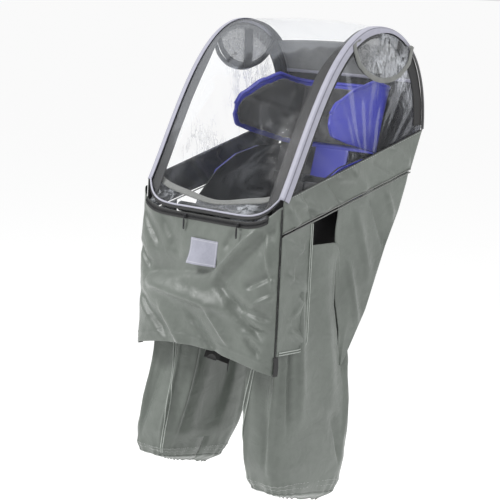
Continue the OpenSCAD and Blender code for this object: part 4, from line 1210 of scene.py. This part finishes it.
def padForm(name, bm, body, node, swell, cap, seams=None):  # cloth blown up from a slightly smaller closed form
    mesh = bpy.data.meshes.new(name)
    bm.to_mesh(mesh)
    bm.free()
    obj = bpy.data.objects.new(name, mesh)
    scene = bpy.context.scene
    scene.collection.objects.link(obj)
    m = obj.modifiers.new("even", "REMESH")
    m.mode, m.voxel_size = "VOXEL", 0.005
    bpy.context.view_layer.update()
    even = bpy.data.meshes.new_from_object(obj.evaluated_get(bpy.context.evaluated_depsgraph_get()))
    obj.modifiers.clear()
    obj.data = even
    start = [v.co.copy() for v in even.vertices]
    cloth = obj.modifiers.new("swell", "CLOTH")
    cloth.settings.use_pressure = True
    cloth.settings.uniform_pressure_force = swell
    cloth.settings.effector_weights.gravity = 0
    cloth.settings.quality = 5
    for frameNumber in range(1, 21):
        scene.frame_set(frameNumber)
    blown = bpy.data.meshes.new_from_object(obj.evaluated_get(bpy.context.evaluated_depsgraph_get()))
    obj.modifiers.clear()
    for v, a, n in zip(blown.vertices, start, [v.normal.copy() for v in even.vertices]):
        d = v.co - a
        v.co = a + (d.normalized() * min(d.length, cap) if d.length > 1e-9 else d)
    obj.data = blown
    scene.frame_set(1)
    if seams:
        for v in obj.data.vertices:
            v.co += seams(v.co, v.normal)
    obj.data.materials.clear()
    obj.data.materials.append(finish["pad"])
    for p in obj.data.polygons:
        p.use_smooth = True
    m = obj.modifiers.new("smooth", "SUBSURF")
    m.levels = m.render_levels = 1
    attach(obj, body)
    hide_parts(node)
    print(name, "padded:", len(obj.data.vertices), "points")
    return obj


def packedForm(node, shrink):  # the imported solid, a little smaller
    bm = bmesh.new()
    bm.from_mesh(nodes[node].data)
    bmesh.ops.remove_doubles(bm, verts=bm.verts, dist=1e-6)
    low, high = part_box(node)
    middle = (low + high) / 2
    size = high - low
    bmesh.ops.translate(bm, vec=-middle, verts=bm.verts)
    bmesh.ops.scale(bm, vec=[1 - 2 * shrink / max(d, 4 * shrink) for d in size], verts=bm.verts)
    bmesh.ops.translate(bm, vec=middle, verts=bm.verts)
    return bm


def seatChannels(p, n):  # sewn lines across the seat cushion
    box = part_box("seat_cushion")
    t = (p.y - box[0].y) / (box[1].y - box[0].y)
    return -n * 0.0045 * between(n.z, 0.3, 0.8) * sum(math.exp(-((t - k) / 0.022) ** 2) for k in (0.33, 0.66))


def backChannels(p, n):
    groove = math.exp(-((abs(p.x) - 0.075) / 0.005) ** 2) + 0.7 * math.exp(-((p.z - 0.03) / 0.006) ** 2)
    return -n * 0.0040 * between(-n.y, 0.3, 0.8) * groove


padForm("seat_pad", packedForm("seat_cushion", 0.004), rest, "seat_cushion", 4.0, 0.006, seatChannels)
padForm("back_pad", packedForm("back_cushion", 0.004), rest, "back_cushion", 4.0, 0.005, backChannels)

bm = spread(headAt(0.0078, 0.005), 90, 16, awayFromHead, (0.66, 0.13))
bmesh.ops.solidify(bm, geom=list(bm.faces), thickness=0.0085)
bmesh.ops.recalc_face_normals(bm, faces=bm.faces)


def headChannels(p, n):
    inside = between(-(n.dot((p - headMiddle).normalized())), 0.2, 0.7)
    local = lean.to_3x3().inverted() @ (p - seatFoot)
    lines = sum(math.exp(-((abs(local.x) - k) / 0.004) ** 2) for k in (0.045,
            0.1)) + math.exp(-((local.z - 0.362) / 0.0045) ** 2)
    return -n * 0.0030 * inside * min(lines, 1.0)


padForm("head_padding", bm, "headrest", "head_pad", 4.0, 0.004, headChannels)

# flat webbing, modelled straight from its route on the backrest
harness = {"x": 0.046, "wide": 0.034, "thick": 0.0020, "face": -0.0305}
for side, word in ((1, "left"), (-1, "right")):
    def strapAt(a, b, side=side):
        x = side * harness["x"] + (a - 0.5) * harness["wide"]
        z = mix(0.2262, 0.060, b)
        y = harness["face"] - 0.0016 - 0.0024 * math.sin(math.pi * b) + 0.0008 * rumple((x, 0, z), 0.03, side)
        back = between(b, 0.0, 0.06)
        return inBack((x, mix(0.0, y, back), z + 0.002 * math.sin(math.pi * back)))
    web = piece(f"shoulder_webbing_{word}", spread(strapAt, 6, 60, forward, (0.034, 0.2)), finish["strap"], rest,
                ("shoulder_straps",) if side > 0 else (), harness["thick"])

    def shoulderPad(a, b, side=side):
        x = side * harness["x"] + (a - 0.5) * 0.046
        p = Vector((x, harness["face"] - 0.0052 - 0.004 * math.sin(math.pi * a) * math.sin(math.pi * b) ** 0.5,
                    mix(0.205, 0.115, b)))
        return inBack(p)
    sleeve = piece(f"shoulder_sleeve_{word}", spread(shoulderPad, 10, 20, forward, (0.046, 0.09)), finish["pad"], rest,
                   (), 0.004, grow=1)

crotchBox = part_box("crotch_strap")


def crotchAt(a, b):
    return Vector((mix(crotchBox[0].x, crotchBox[1].x, a), crotchBox[0].y + 0.0016 * math.sin(math.pi * b),
                   mix(crotchBox[1].z + 0.004, crotchBox[0].z - 0.001, b)))


web = piece("crotch_webbing", spread(crotchAt, 6, 16, forward, (0.034, 0.04)), finish["strap"], rest,
            ("crotch_strap",), harness["thick"])

for side, word in ((1, "left"), (-1, "right")):
    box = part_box(f"foot_strap_{word}")

    def footStrapAt(a, b, box=box):
        t = b * 2 - 1
        span = (box[1].x - box[0].x) / 2
        x = (box[0].x + box[1].x) / 2 + span * math.copysign(min(1, 1.25 * abs(t)) ** 0.8, t) * 0.985
        z = box[1].z - (box[1].z - box[0].z) * max(0, (abs(t) - 0.45) / 0.55) ** 1.3
        return Vector((x, mix(box[0].y, box[1].y, a), z + 0.002 * math.cos(t * 1.5)))
    web = piece(f"foot_webbing_{word}", spread(footStrapAt, 6, 60, lambda c: Vector((0, 0, 1)), (0.028, 0.15)),
                finish["strap"],
                f"foot_{word}", (f"foot_strap_{word}",), 0.0020)
print("seat dressed")

stage = {"floor": -1.01, "wide": 900.0}
bm = bmesh.new()
bmesh.ops.create_grid(bm, x_segments=2, y_segments=2, size=stage["wide"] / 2)
bmesh.ops.translate(bm, vec=(0, 0, stage["floor"]), verts=bm.verts)
floorPaint = Paint("pale_floor", Base_Color=(0.9, 0.9, 0.9), Roughness=0.95, Specular_IOR_Level=0.0,
                   Emission_Color=(1, 1, 1), Emission_Strength=0.28)
floor = piece("floor", bm, floorPaint.material, None)

view = {"azimuth": 43.16, "elevation": 8.91, "roll": 2.66, "lens": 121.7, "place": (2.438, -2.501, 0.543)}
a, e, r = (math.radians(view[k]) for k in ("azimuth", "elevation", "roll"))
away = Vector((math.sin(a) * math.cos(e), -math.cos(a) * math.cos(e), math.sin(e)))
across = Vector((math.cos(a), math.sin(a), 0))
up = away.cross(across)
camData = bpy.data.cameras.new("camera")
camData.lens, camData.sensor_width, camData.clip_end = view["lens"], 36, 1000
camera = bpy.data.objects.new("camera", camData)
bpy.context.scene.collection.objects.link(camera)
camera.matrix_world = Matrix.Translation(view["place"]) @ Matrix(
    (across * math.cos(r) + up * math.sin(r), up * math.cos(r) - across * math.sin(r), away)).transposed().to_4x4()
bpy.context.scene.camera = camera


def softLight(name, place, target, power, wide, tall, tone=(1, 1, 1)):
    data = bpy.data.lights.new(name, "AREA")
    data.shape, data.size, data.size_y, data.energy, data.color = "RECTANGLE", wide, tall, power, tone
    lamp = bpy.data.objects.new(name, data)
    bpy.context.scene.collection.objects.link(lamp)
    lamp.location = place
    lamp.rotation_euler = (Vector(target) - Vector(place)).to_track_quat("-Z", "Y").to_euler()
    return lamp


softLight("key", (-1.4, -2.2, 2.3), (0, 0.1, 0.0), 84, 0.9, 0.9)
softLight("side", (2.9, 1.4, 1.7), (0, 0.1, 0.1), 34, 0.7, 1.5)
softLight("top", (0.2, 0.6, 2.6), (0, 0.1, 0.2), 16, 1.4, 1.0)

world = bpy.data.worlds.new("studio")
world.use_nodes = True
world.node_tree.nodes["Background"].inputs["Color"].default_value = (1, 1, 1, 1)
world.node_tree.nodes["Background"].inputs["Strength"].default_value = 0.75
bpy.context.scene.world = world
bpy.context.scene.view_settings.view_transform = "Standard"
print("stage set")
